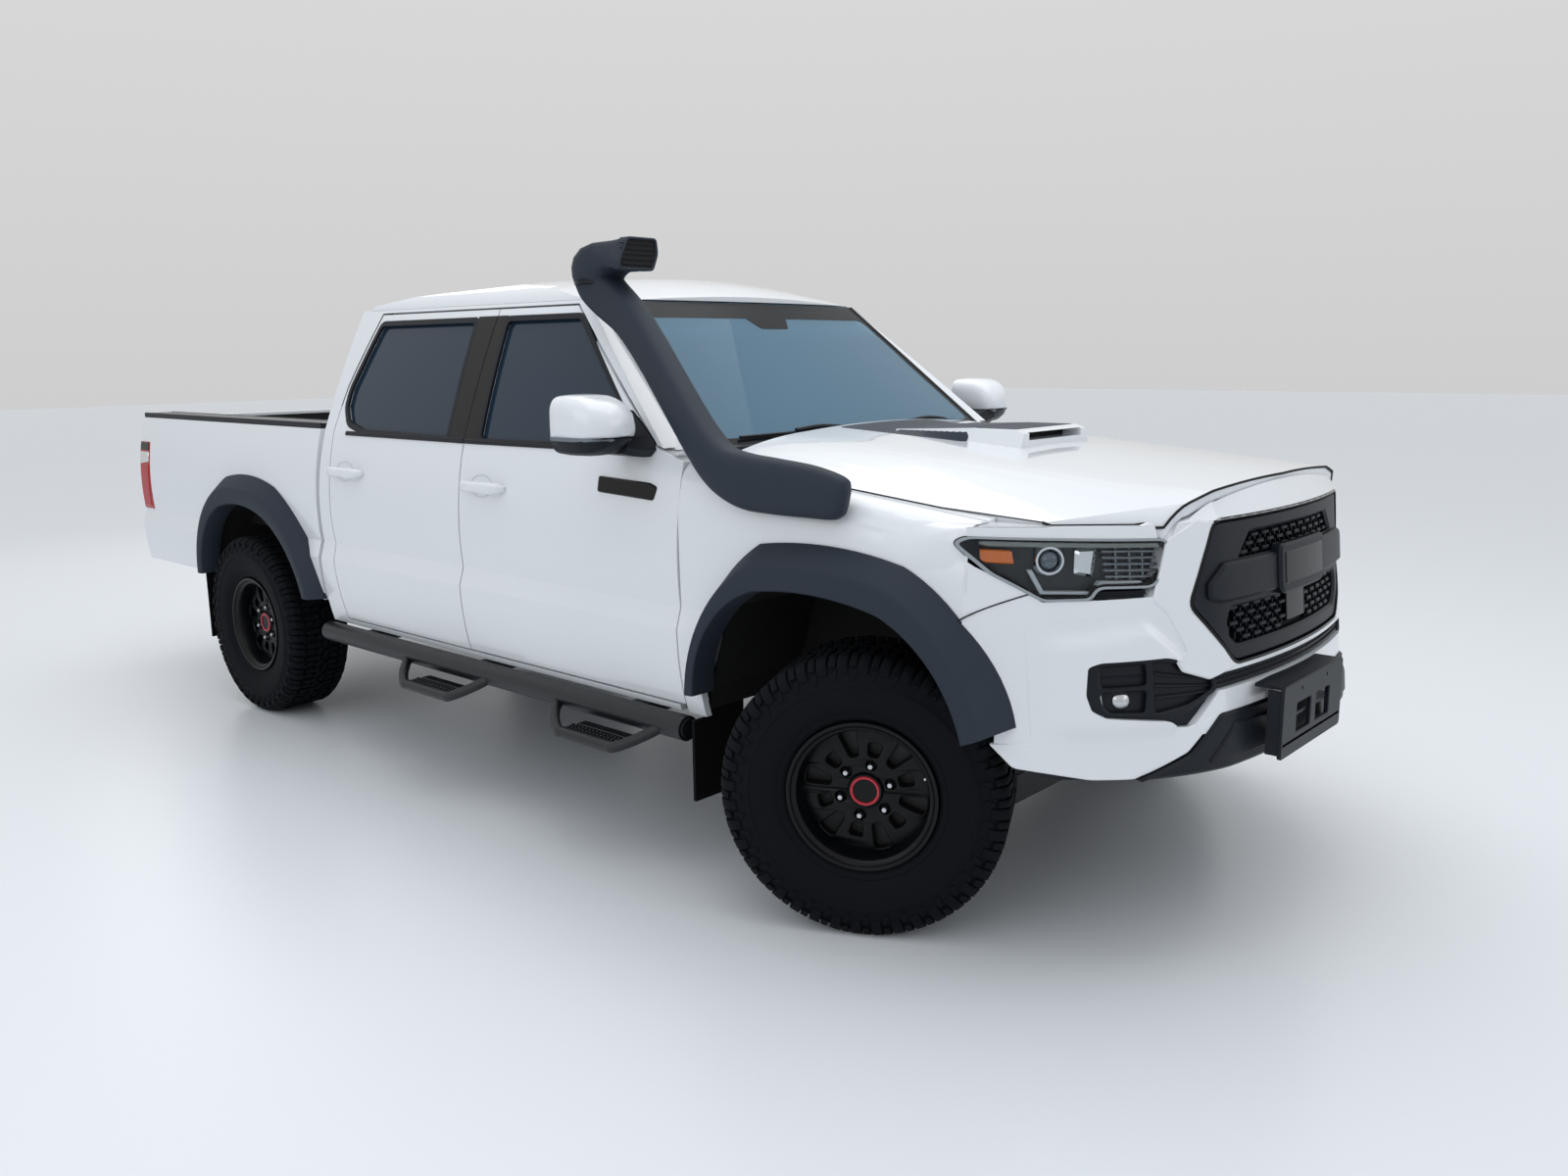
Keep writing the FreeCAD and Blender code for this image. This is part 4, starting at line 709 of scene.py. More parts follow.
rim_mesh = merged([turned(BARREL, 128), face_mesh()])
on_wheels("rim", rim_mesh, wheel_black, 32.0, "rim")
print(f"wheel: {len(rim_mesh[0])} points, {2 * BARREL[0][0]:.0f} mm across")

# %% Brake, cap, nuts and valve
backs = [turned([(0.1, -24), (62, -24), (62, -12), (0.1, -12)], 32),
         turned([(60, -20), (168, -20), (168, -8), (60, -8)], 64)]
on_wheels("brake_disc", merged(backs), chassis)
cap = turned([(0.1, -58), (31, -58.5), (33, -60), (44, -60), (47, -56), (50, -50), (50, -44),
              (0.1, -44)], 48, False)
on_wheels("cap", cap, wheel_black)
band = turned([(32, -59.5), (33.5, -62.5), (38.5, -62.5), (40.5, -59.5), (40.5, -56), (32, -56)],
              48)
on_wheels("cap_ring", band, red_ring)
nuts = [([(x + r * math.cos(math.pi * k / 3), y, z + r * math.sin(math.pi * k / 3))
          for r, y in ((8.5, -40), (8.5, -62), (6.5, -65)) for k in range(6)],
         quads(3, 6) + [tuple(range(12, 18))]) for x, z in NUTS]
on_wheels("lug_nuts", merged(nuts), steel)
VALVE_R, VALVE_TURN = 168, 0.3
valve_x, valve_z = VALVE_R * math.cos(VALVE_TURN), VALVE_R * math.sin(VALVE_TURN)
valve = ([(valve_x + u, y, valve_z + v) for y in (-46, -74) for u, v in circle(3.4, 10)],
         quads(2, 10) + [tuple(range(10, 20))])
on_wheels("valve", valve, steel)
print(f"each wheel: {len(nuts)} nuts, a cap, a ring, a brake disc and a valve")

# %% [markdown]
# ## The nose as a function
# The front of the body is one pressed shape, curved in plan and leaning back. Grille, lamps and
# bezels have to follow it closely. A shrinkwrap modifier could press them on, but it squashes
# their walls. The nose's own arcs give its surface at any point, so pieces are drawn as seen from
# the front, in (Y, Z), and lifted square off it.


# %% The nose
def circle_through(a, via, b):
    """Centre and radius of the circle through three points."""
    (x1, y1), (x2, y2), (x3, y3) = a, via, b
    s1, s2, s3 = x1 ** 2 + y1 ** 2, x2 ** 2 + y2 ** 2, x3 ** 2 + y3 ** 2
    d = 2 * (x1 * (y2 - y3) + x2 * (y3 - y1) + x3 * (y1 - y2))
    cx = (s1 * (y2 - y3) + s2 * (y3 - y1) + s3 * (y1 - y2)) / d
    cy = (s1 * (x3 - x2) + s2 * (x1 - x3) + s3 * (x2 - x1)) / d
    return cx, cy, math.hypot(x1 - cx, y1 - cy)


def arc_value(u, a, via, b):
    """The second coordinate at u of the arc through three points."""
    cx, cy, r = circle_through(a, via, b)
    root = math.sqrt(max(r * r - (u - cx) ** 2, 0))
    return cy + root if via[1] > cy else cy - root


def nose_plan(y):
    """How far ahead of the front axle the nose reaches at its foot."""
    y = abs(y)
    if y <= 400:
        return arc_value(y, (-400, 856), (0, 893), (400, 856))
    if y <= 750:
        return arc_value(y, (400, 856), (600, 759), (750, 620))
    return arc_value(min(y, 904), (750, 620), (853, 490), (905, 395))


def nose(y, z, out=0.0):
    """A point on the nose, moved forward by out."""
    lean = 55 * (z - 508) / 604 if z < 1112 else 55 + 53 * (z - 1112) / 88
    return (ahead(nose_plan(y) - lean + out), y, z)


def on_nose(y, z, out):
    """A point off the nose, measured square to its surface; y and z say where."""
    p, q = np.array(nose(y - 1, z)), np.array(nose(y + 1, z))
    r, s = np.array(nose(y, z - 1)), np.array(nose(y, z + 1))
    square = np.cross(q - p, s - r)
    return tuple(np.array(nose(y, z)) + square / np.linalg.norm(square) * out)


# %% [markdown]
# ### Grille
# The grille is a moulded surround with two openings, a deep dark plate behind them, a bar across
# the middle and a mesh of staggered bars joined by ties. The plate is painted shade: it stands for
# the dark depth behind the openings. A repeating texture with holes would go flat in a side view,
# so each bar and tie is a small patch; those that would cross an opening's rim are left out.


# %% Grille surround and bar
def two_sided(points):
    """A closed outline from its right-hand half, listed from top to bottom."""
    return list(points) + [(-y, z) for y, z in points[::-1]]


GRID = 30
GRILLE_RIM = rounded(two_sided([(-417, 1109), (-496, 915), (-352, 759)]), 22, 4)
UPPER = rounded(two_sided([(-262, 1070), (-318, 1010)]), 12, 3)
LOWER = rounded(two_sided([(-356, 893), (-374, 866), (-366, 826), (-330, 800)]), 12, 3)
BAR = rounded(two_sided([(-140, 1008), (-392, 1008), (-446, 962), (-446, 926), (-408, 912),
                         (-140, 912)]), 10, 3)
BLOCK_RIM = rounded(two_sided([(-146, 1026), (-152, 1000), (-152, 918), (-134, 898)]), 12, 3)
surround = relief("grille_surround", [GRILLE_RIM, UPPER, LOWER], -30, -4, 7, on_nose, smooth_black,
                  "body", GRID)
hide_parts("grille")
# grille_back is painted shade: a dark plate for the depth behind the grille's openings.
for name, outline, low, high, bevel, material in (
        ("grille_back", GRILLE_RIM, -36, -32, 0, deep_black),
        ("grille_bar", BAR, -8, 9, 7, smooth_black),
        ("grille_block", BLOCK_RIM, -8, 19, 7, smooth_black),
        ("grille_nameplate", rounded(two_sided([(-128, 1004), (-128, 922)]), 6, 2), 16, 21, 2,
         gloss_black),
        ("radar_panel", rounded(two_sided([(-62, 896), (-62, 816)]), 4, 2), -24, -10, 2,
         gloss_black)):
    relief(name, [outline], low, high, bevel, on_nose, material, "body", GRID)
print(f"grille: {2 * max(y for y, _ in GRILLE_RIM):.0f} mm wide")

# %% Grille mesh and edge
mesh_bars = []
ROW, STEP = 19.5, 56.0
for opening, first, rows in ((UPPER, 1021, 3), (LOWER, 812, 5)):
    room = spread(opening, 6)
    for row in range(rows):
        z = first + row * ROW
        for k in range(-8, 9):
            y = k * STEP + (row % 2) * STEP / 2
            corners = [(y - 17, z - 5), (y + 17, z - 5), (y + 17, z + 5), (y - 17, z + 5)]
            if all(inside(u, v, room) for u, v in corners) and not (abs(y) < 70 and z < 900):
                mesh_bars.append(relief_mesh([corners], -26, -11, 2.5, on_nose))
                for u in (y - 15, y + 11):
                    tie = [(u, z - ROW), (u + 4, z - ROW), (u + 4, z), (u, z)]
                    mesh_bars.append(relief_mesh([tie], -30, -20, 0, on_nose))
piece("grille_mesh", *merged(mesh_bars), smooth_black, "body")
relief("grille_edge", [spread(GRILLE_RIM, 7), GRILLE_RIM], -20, 0.6, 0, on_nose, gloss_black,
       "body", GRID)
print(f"grille mesh: {len(mesh_bars)} bars and ties")

# %% [markdown]
# ### Nose lip, cheeks and valance
# White panels frame the grille and swell out round the fog lamps; below them a black valance
# closes the bumper. The swell could be sculpted. A smooth step from 0 to 1 at each border of the
# cheek does it in one line and meets the flat panel without a kink.

# %% Lip beside the grille
frame_edge = [(-356, 752), (-505, 913), (-428, 1108), (-470, 1120), (-552, 1076), (-588, 935),
              (-556, 900), (-512, 806), (-545, 797), (-524, 758), (-448, 730)]
pair("frame_lower", relief_mesh([rounded(frame_edge, 8, 3)], -4, 3, 3.5, on_nose, GRID), white)
print(f"lip: an outline of {len(frame_edge)} corners on each side")


def eased(value):
    """0 below 0, 1 above 1 and a smooth rise between."""
    t = min(max(value, 0), 1)
    return t * t * (3 - 2 * t)


def on_cheek(y, z, out):
    """A point off the swollen cheek round the fog lamp."""
    crest = 850 + (min(y, -600) + 760) * 0.19 - max(y + 600, 0) * 1.1
    swell = 15 * eased((crest + 6 - z) / 26) * eased((z - 604) / 44) * eased((y + 806) / 70)
    return on_nose(y, z, out + swell)


# %% Cheeks and valance
cheek = rounded([(-808, 884), (-592, 908), (-560, 884), (-518, 808), (-530, 788), (-568, 799),
                 (-696, 795), (-717, 785), (-722, 718), (-714, 679), (-691, 662), (-566, 646),
                 (-546, 630), (-560, 600), (-808, 600)], 8, 3)
pair("bumper_cheek", relief_mesh([cheek], -22, 0.7, 0, on_cheek, 15), white, crease=50)
low_side = rounded([(-424, 645), (-516, 561), (-640, 509), (-720, 511), (-836, 540), (-866, 600),
                    (-700, 607), (-520, 622)], 8, 3)
pair("bumper_low_side", relief_mesh([low_side], -14, 0.8, 3, on_nose, GRID), white)
valance = rounded([(-640, 506), (-514, 556), (-420, 644), (420, 644), (514, 556), (640, 506)], 10,
                  3)
relief("lower_valance", [valance], -14, 8, 7, on_nose, smooth_black, "body", GRID)
panel = rounded(two_sided([(-380, 616), (-470, 530)]), 10, 3)
relief("valance_panel", [panel], 4, 14, 5, on_nose, smooth_black, "body", GRID)
print("bumper: lip, cheeks, low sides and valance")

# %% [markdown]
# ### Fog lamps and lower intake
# Each fog lamp sits low in a black bezel that is divided into cells: a small round lamp in the
# lower outer one, slanting fins in the inner one. Turned profiles like the lamp need an axis, so
# a stud is set up on the nose: an origin with one direction square to the surface and two along
# it.

# %% Fog lamp bezels
BEZEL = rounded([(-428, 741), (-520, 791), (-568, 801), (-696, 797), (-719, 786), (-724, 718),
                 (-716, 678), (-692, 660), (-556, 643), (-508, 664), (-426, 702)], 9, 3)
CELLS = [rounded([(-694, 781), (-606, 784), (-606, 734), (-694, 732)], 8, 3),
         rounded([(-694, 718), (-606, 720), (-612, 668), (-680, 672), (-690, 684)], 8, 3),
         rounded([(-590, 786), (-524, 778), (-440, 736), (-440, 708), (-508, 678), (-590, 664)], 8,
                 3)]
pair("fog_bezel", relief_mesh([BEZEL] + CELLS, -34, 2, 5, on_nose, 26), smooth_black)
fins = [relief_mesh([rounded([(-588, z), (-444, z - 14 + lift), (-444, z - 19 + lift),
                              (-588, z - 9)], 3, 2)], -30, -7, 2, on_nose, 26)
        for z, lift in ((764, -18), (734, -2), (704, 14))]
fins.append(relief_mesh([[(-694, 757), (-606, 759), (-606, 753), (-694, 751)]], -30, -14, 1.5,
                        on_nose, 26))
pair("fog_fins", merged(fins), smooth_black)


def stud(y, z, out):
    """A frame that stands on the nose: maps (aside, height, upward) to a place."""
    spot, tip = np.array(on_nose(y, z, out)), np.array(on_nose(y, z, out + 1))
    up = tip - spot
    aside = np.cross(up, (0, 0, 1))
    aside /= np.linalg.norm(aside)
    top = np.cross(aside, up)
    return lambda a, h, b: tuple(spot + a * aside + h * up + b * top)


def turned_lamp(profile, steps, spot):
    """A profile of (radius, height) points turned about the axis of a stud."""
    verts, faces = turned(profile, steps)
    return [spot(x, y, z) for x, y, z in verts], faces


# %% Fog lamps and intake
fog = stud(-655, 697, -14)
pair("fog_lamp", turned_lamp([(0.1, 9), (16, 6), (22, 0), (22, -4), (0.1, -4)], 32, fog), steel)
intake = [(-430, 741), (430, 741), (430, 702), (-430, 702)]
# The intake's back is painted shade: a dark sheet for the depth behind the slats.
relief("intake_back", [intake], -40, -34, 0, on_nose, deep_black, "body", GRID)
slats = [relief_mesh([[(-432, z), (432, z), (432, z + 5), (-432, z + 5)]], -30, -8, 1.5, on_nose,
                     GRID)
         for z in (709, 722, 735)]
piece("intake_slats", *merged(slats), smooth_black, "body")
print(f"bezels: {len(CELLS)} cells and {len(fins)} fins each; {len(slats)} intake slats")

# %% [markdown]
# ### Headlamps
# A headlamp is a clear cover over a dark housing with a projector, a chrome reflector, a grid of
# bars, a thin line of light and an amber marker at the corner. A picture of all that under a
# glossy sheet would not change with the view, so each part is built at its own depth behind the
# cover. Past the nose's corner the cover bends back along the fender, so the mapping bends too.

# %% Mapping and outline of the lens
LAMP_TURN, GRID_LAMP = 876, 20


def on_lamp(y, z, out):
    """As on_nose, but past the nose's corner the lens bends back along the fender."""
    over = abs(y) - LAMP_TURN
    if over <= 0:
        return on_nose(y, z, out)
    side = math.copysign(1, y)
    x, at_y, _ = on_nose(side * LAMP_TURN, z, out)
    return (x - 2.1 * over, at_y + side * (0.1 * over + min(over, 3.5)), z)


LENS = rounded([(-893, 1074), (-876, 1091), (-558, 1079), (-536, 1060), (-549, 1000), (-588, 966),
                (-690, 968), (-704, 941), (-780, 939), (-852, 1004)], 12, 4)
print(f"lens: {max(y for y, _ in LENS) - min(y for y, _ in LENS):.0f} mm wide seen from the front")


def lamp_patch(loops, low, high, bevel, grid=GRID_LAMP):
    """A raised patch in the headlamp, measured from the lens's surface."""
    return relief_mesh(loops, low, high, bevel, on_lamp, grid)


# %% Finishes inside the lamp
# Moulded polyester: the dark, faintly shiny back of the housing.
lamp_floor = finish("moulded_polyester_housing", "#2B3036", 0.35)
# Silver paint on polycarbonate: a satin grey brow.
silver_paint = finish("silver_painted_polycarbonate", "#8B928F", 0.35)
# A pressed glass lens over a dark bowl: it mirrors the room, darkly.
projector_glass = finish("pressed_lens_glass", "#55616B", 0.02, 0.6, coat=1.0)
# Plastic with a thin layer of aluminium on it: silver, but less bright than chrome.
metallised = finish("metallised_plastic", "#8D959C", 0.3, 0.6)
# An acrylic rod that carries light, switched off: pale and glassy.
light_guide = finish("extruded_acrylic_rod", "#C3CACF", 0.25)
# The cover's clear edge drawn pale grey: a painted highlight for the light it catches seen end-on.
cover_edge = finish("polycarbonate_edge", "#9AA1A6", 0.3)
print("in the lamp:", lamp_floor.name, silver_paint.name, projector_glass.name, metallised.name,
      light_guide.name, cover_edge.name)

# %% Housing and cover
housing = pair("lamp_housing", lamp_patch([spread(LENS, 3), spread(LENS, -9)], -44, -4, 2, 24),
               gloss_black)
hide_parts("headlamps")
pair("lamp_back", lamp_patch([spread(LENS, 3)], -50, -43, 0, 24), lamp_floor)
pair("lamp_lens", relief_mesh([LENS], -5, 1.5, 2.5, on_lamp, GRID_LAMP, True), clear_lens)
brow = [(-880, 1076), (-868, 1082), (-566, 1070), (-560, 1058), (-700, 1063), (-850, 1068)]
pair("lamp_brow", lamp_patch([brow], -40, -9, 2), silver_paint)
marker = rounded([(-882, 1063), (-820, 1058), (-818, 1026), (-862, 1030)], 5, 2)
pair("side_marker", lamp_patch([marker], -30, -8, 3), amber)
print(f"cover: {len(LENS)} points round its edge")

# %% Projector, reflector, grid, line of light and rim
spot = stud(-764, 1034, -40)
pair("projector_ring", turned_lamp([(25, 0), (25, 26), (28, 31), (33, 31), (38, 24), (40, 0)], 48,
                                   spot), chrome)
pair("projector_eye", turned_lamp([(0.1, 32), (9, 30.5), (17, 26), (24, 16), (24, 2), (0.1, 2)], 48,
                                  spot), projector_glass)
bowl = rounded([(-722, 1060), (-684, 1062), (-694, 992), (-726, 1000)], 6, 2)
pair("lamp_reflector", lamp_patch([bowl], -42, -20, 7), chrome)
bars = [lamp_patch([[(-676 + k, 1056 - 15 * k), (-566 + 2 * k, 1052 - 15 * k),
                     (-566 + 2 * k, 1046 - 15 * k), (-676 + k, 1050 - 15 * k)]], -42, -22, 2)
        for k in range(5)]
bars += [lamp_patch([[(y, 1058), (y + 4, 1058), (y + 4, 984), (y, 984)]], -44, -30, 1)
         for y in (-650, -622, -594)]
pair("lamp_grid", merged(bars), metallised)
light_line = [(-800, 1012), (-792, 1012), (-776, 962), (-700, 960), (-684, 984), (-604, 982),
              (-602, 976), (-680, 977), (-696, 953), (-782, 955)]
pair("lamp_line", lamp_patch([light_line], -40, -14, 1), light_guide)
pair("lamp_rim", lamp_patch([spread(LENS, 1), spread(LENS, -5)], -3, 2.6, 1.2), cover_edge)
print(f"lamp grid: {len(bars)} bars")

# %% Lamp end and vent
end_cap = [(-891, 1073), (-876, 1088), (-862, 1088), (-862, 1024)]
pair("lamp_end", lamp_patch([end_cap], -6, -0.5, 0, 8), smooth_black)
VENT = rounded([(-596, 961), (-612, 926), (-700, 934), (-690, 962)], 5, 2)
pair("lamp_vent", lamp_patch([VENT], -30, -6, 2), smooth_black)
ribs = [lamp_patch([[(-600 - 4 * k, 955 - 8 * k), (-692 - 1.5 * k, 956 - 7 * k),
                     (-692 - 1.5 * k, 953 - 7 * k), (-600 - 4 * k, 951 - 8 * k)]], -10, -1, 1)
        for k in range(4)]
pair("lamp_vent_ribs", merged(ribs), smooth_black)
print(f"lamp vent: {len(ribs)} ribs")

# %% [markdown]
# ### Fender corner behind the headlamp
# Between lamp and wheel arch the fender swells to meet the lamp's end, a shape too soft for the
# CAD solid. A subdivision surface would round its borders as well; a loft through sections that
# blend from the fender's shoulder to the nose's end keeps them where the neighbours are.


# %% Fender corner
def corner_ring(reach):
    """A section of the fender's shoulder, swelling towards the nose's upright end."""
    top = 1217.1 - 0.104 * (reach + 569)
    share = eased((reach - 200) / 190)
    back = [(884.9, top - 157), (884.2, top - 130), (881.6, top - 111.5), (876.8, top - 85),
            (870.2, top - 65), (860, top - 39), (847, top - 18), (778, top)]
    end = [(883.5, 958), (880.5, 1000), (878.5, 1040), (876.5, 1075), (873, 1100), (862, 1110.5),
           (836, 1114.5), (780, 1116.5)]
    lift = [-0.8] + [-0.6 + 1.1 * eased((reach - 150) / 70)] * 6 + [-0.4]
    dip = [k * eased((reach - 350) / 30) for k in (0, 0, 5, 6, 3, 0, 0, 0)]
    return [(ahead(reach), -(a + (c - a) * share + up - low), b + (d - b) * share + up)
            for (a, b), (c, d), up, low in zip(back, end, lift, dip)]


rings = [corner_ring(r) for r in range(150, 403, 7)]
pair("fender_corner", loft(rings, around=False, capped=False), white, crease=60)
print(f"fender corner: {len(rings)} sections of {len(rings[0])} points")

# %% [markdown]
# ### Number plate bracket
# A folded steel plate carries the number plate in front of the bumper. It has two windows, two 7
# mm holes and turned-in edges. The holes matter, because something else may be mounted there, so
# they are real holes.

# %% Number plate bracket
BRACKET_X = ahead(935)


def bracket_place(u, v, w):
    return (BRACKET_X + w, u, v)


def block_mesh(low, high, bevel=0.0):
    """A box with chamfered upper edges as (vertices, faces)."""
    loop = [(low[0], low[1]), (high[0], low[1]), (high[0], high[1]), (low[0], high[1])]
    return relief_mesh([loop], low[2], high[2], bevel, lambda x, y, z: (x, y, z))


plate_rim = rounded([(-300, 512), (120, 512), (120, 700), (-300, 700)], 14, 4)
plate_windows = [rounded([(y, 566), (y + 96, 566), (y + 96, 640), (y, 640)], 6, 3)
                 for y in (-206, -72)]
plate_holes = [[(-90 + s * 88.9 + u, 676 + v) for u, v in circle(3.5, 16)] for s in (-1, 1)]
bracket = relief("plate_holder", [plate_rim] + plate_windows + plate_holes, 0, 10, 2.5,
                 bracket_place, smooth_black, "body")
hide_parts("plate_bracket")
folds = [block_mesh((ahead(868), -292, 690), (ahead(936), 112, 698)),
         block_mesh((ahead(905), -300, 524), (ahead(936), -292, 688)),
         block_mesh((ahead(905), 112, 524), (ahead(936), 120, 688)),
         block_mesh((ahead(866), -236, 604), (ahead(936), 58, 612)),
         block_mesh((ahead(938), -292, 545), (ahead(945), 112, 552))]
piece("plate_holder_folds", *merged(folds), smooth_black, "body")
print(f"bracket: {len(plate_windows)} windows, {len(plate_holes)} holes, {len(folds)} folded edges")

# %% [markdown]
# ## The sides
# The body side is one long pressed surface that leans in above the belt, so its half-width is a
# function of height. The pieces on it are drawn in (X, Z) and stand off that surface, as the
# pieces on the nose do.


# %% The body side
def flank(z):
    """Half-width of the body side at a height."""
    if z < 735:
        return arc_value(z, (480, 862), (607.5, 890), (735, 900))
    if z < 800:
        return 900 - (z - 735) / 65 * 19
    if z < 1240:
        return arc_value(z, (800, 881), (1010, 886), (1240, 846))
    return arc_value(min(z, 1690), (1240, 846), (1465, 762), (1690, 662))


def on_side(side):
    """Maps (x, z, height) onto the body side."""
    return lambda x, z, w: (x, side * (flank(z) + w), z)


# %% [markdown]
# ### Wheel flares
# The flares are bolted-on mouldings: a sloping upper band, an upright outer face and a lip turned
# in under the edge. A bevelled sweep of one section round the arch would be too even, because the
# section grows wider round the top. Each ring here runs from the arch's inner lip to its outer
# rim, along lines between those two.


# %% Lines of the arches
def arc_through(a, via, b, steps):
    """Points on the arc from a through via to b."""
    cx, cy, radius = circle_through(a, via, b)
    start, through, end = [math.atan2(p[1] - cy, p[0] - cx) for p in (a, via, b)]
    turn = (end - start) % (2 * math.pi)
    if (through - start) % (2 * math.pi) > turn:
        turn -= 2 * math.pi
    return [(cx + radius * math.cos(start + turn * k / steps),
             cy + radius * math.sin(start + turn * k / steps))
            for k in range(steps + 1)]


def arch_line(share, front, steps=16):
    """A wheel arch seen from the side: share 0 is the flare's inner lip and 1 its outer rim."""
    k, c = share, FRONT_AXLE if front else REAR_AXLE
    if front:
        points = [(c - 468 - 55 * k, 563), (c - 400 - 28 * k, 776 + 70 * k),
                  (c - 238 - 10 * k, 890 + 124 * k), (c - 20, 906 + 124 * k),
                  (c + 180 + 45 * k, 880 + 122 * k), (c + 345 + 70 * k, 765 + 98 * k),
                  (c + 432 + 83 * k, 604 + 36 * k)]
    else:
        points = [(c - 400 - 70 * k, 565), (c - 335 - 58 * k, 772 + 74 * k),
                  (c - 165 - 20 * k, 888 + 122 * k), (c + 20, 904 + 124 * k),
                  (c + 200 + 48 * k, 872 + 118 * k), (c + 400 + 72 * k, 740 + 76 * k),
                  (c + 508 + 88 * k, 565)]
    line = []
    for k in (0, 2, 4):
        line += arc_through(points[k], points[k + 1], points[k + 2], steps)[(k > 0):]
    return line


def body_half(x, z):
    """Half-width of the body side anywhere along the vehicle."""
    reach = x - FRONT_AXLE
    if reach < 397:
        return flank(z) if reach < -569 or z < 800 else min(884.8, 881 + (z - 800) / 160 * 3.8)
    low, high = 600.0, 904.0
    for _ in range(30):
        mid = (low + high) / 2
        low, high = (mid, high) if nose(mid, z)[0] - FRONT_AXLE > reach else (low, mid)
    return low


# %% Flare skins
FLARE_HALF = 947.5


def flare_mesh(front):
    """A flare's skin: a sloping upper band, an upright face and a turned-in lip."""
    # share of the way out, how far it stands off the outer plane, and whether that is off the body
    section = [(1.0, -6, True), (1.0, 5, True), (0.97, 9, True), (0.62, 6, False), (0.57, 2, False),
               (0.5, 0.4, False), (0.1, 3, False), (0.03, 6, False), (0.0, 12, False),
               (0.0, 90, False)]
    lines = {share: arch_line(share, front) for share in {s for s, _, _ in section}}
    rings = []
    for k in range(len(lines[0.0])):
        ring = []
        for share, off, at_body in section:
            x, z = lines[share][k]
            half = body_half(x, z) + off if at_body else FLARE_HALF - off
            ring.append((x, -half, z))
        rings.append(ring)
    count, verts = len(section), [p for ring in rings for p in ring]
    faces = [(r * count + i, (r + 1) * count + i, (r + 1) * count + i + 1, r * count + i + 1)
             for r in range(len(rings) - 1) for i in range(count - 1)]
    return verts, faces + [tuple(range(count)), tuple(range(len(verts) - count, len(verts)))[::-1]]


flares = pair("flare_skins", merged([flare_mesh(True), flare_mesh(False)]), flare_black, crease=28)
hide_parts("wheel_flares")
print(f"flares: {2 * FLARE_HALF:.0f} mm over the pair")

# %% [markdown]
# ### Snorkel
# The intake duct leaves the fender, follows the windshield pillar and ends in a head that faces
# forward. It is one blown or moulded tube whose section changes all the way, from a flat strip to
# a rounded block. A curve with a bevel keeps one section, so this is a loft: rounded rectangles
# of changing size stand square to a smooth path through a few given stations.


# %% Rings along a path
def smooth_path(points, per_span=8):
    """Points along a smooth curve through all the given ones, which may carry extra numbers."""
    p = np.array(points, float)
    p = np.vstack([2 * p[0] - p[1], p, 2 * p[-1] - p[-2]])
    out = []
    for i in range(1, len(p) - 2):
        for t in np.linspace(0, 1, per_span, endpoint=False):
            a, b, c, d = p[i - 1:i + 3]
            out.append(0.5 * (2 * b + (c - a) * t + (2 * a - 5 * b + 4 * c - d) * t * t
                              + (3 * b - a - 3 * c + d) * t ** 3))
    return np.array(out + [p[-2]])


def squircle(wide, high, power=4.0, count=32):
    """A rounded rectangle's outline as a super-ellipse."""
    out = []
    for i in range(count):
        a = 2 * math.pi * i / count
        c, s = math.cos(a), math.sin(a)
        out.append((math.copysign(abs(c) ** (2 / power), c) * wide,
                    math.copysign(abs(s) ** (2 / power), s) * high))
    return out


def frames(path):
    """Each point of a path with its sideways and upward directions, square to the way."""
    for i, spot in enumerate(path):
        along = path[min(i + 1, len(path) - 1)] - path[max(i - 1, 0)]
        along /= np.linalg.norm(along)
        aside = np.cross(along, (0, 0, 1))
        aside /= np.linalg.norm(aside)
        yield spot, aside, np.cross(aside, along)


def flattened(rows, power, count=36):
    """Rings along (x, y, z, half thickness, half height) rows, square to the way."""
    path = np.array(rows, float)
    return [[spot + u * aside + v * top for u, v in squircle(thick, high, power, count)]
            for (spot, aside, top), (thick, high) in zip(frames(path[:, :3]), path[:, 3:])]


# %% Duct
duct_rows = smooth_path([
    (ahead(52), -886, 1150, 10, 22), (ahead(44), -888, 1152, 24, 44),
    (ahead(18), -890, 1157, 33, 58), (ahead(-70), -890, 1166, 38, 68),
    (ahead(-200), -888, 1172, 42, 74), (ahead(-300), -886, 1180, 46, 75),
    (ahead(-395), -878, 1210, 48, 66), (ahead(-492), -858, 1278, 47, 60),
    (ahead(-630), -820, 1396, 46, 58), (ahead(-776), -780, 1524, 46, 58),
    (ahead(-900), -750, 1622, 48, 61), (ahead(-1018), -728, 1690, 54, 68),
    (ahead(-1066), -722, 1728, 60, 72), (ahead(-1073), -722, 1750, 62, 74)], 6)
snorkel = piece("snorkel_duct", *loft(flattened(duct_rows, 2.8)), flare_black, "body", crease=50)
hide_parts("snorkel")
print(f"snorkel duct: {len(duct_rows)} rings")

# %% [markdown]
# The head starts as the duct's rounded section and ends in a mouth of its own outline. Each ring
# takes either the rounded section or the mouth's outline, measured from its middle in equal
# turns, so that every ring has the same number of points and can be joined to the next.


# %% Outline of the mouth
SNORKEL_Y, HEAD_POINTS, MOUTH_HALF = -722, 48, 53
MOUTH = rounded([(-80, -50), (-82, -22), (-40, 56), (80, 56), (82, 6), (56, -50)], 14, 4)
print(f"mouth: {len(MOUTH)} points, middle {-SNORKEL_Y} mm to the right")


def reach_of(loop, turn):
    """How far from its middle a convex outline reaches in a direction."""
    c, s = math.cos(turn), math.sin(turn)
    reaches = []
    for (x1, y1), (x2, y2) in zip(loop, loop[1:] + loop[:1]):
        d = c * (y2 - y1) - s * (x2 - x1)
        if abs(d) > 1e-9:
            along, share = (x1 * (y2 - y1) - y1 * (x2 - x1)) / d, (x1 * s - y1 * c) / d
            if along > 0 and -1e-6 <= share <= 1 + 1e-6:
                reaches.append(along)
    return max(reaches)


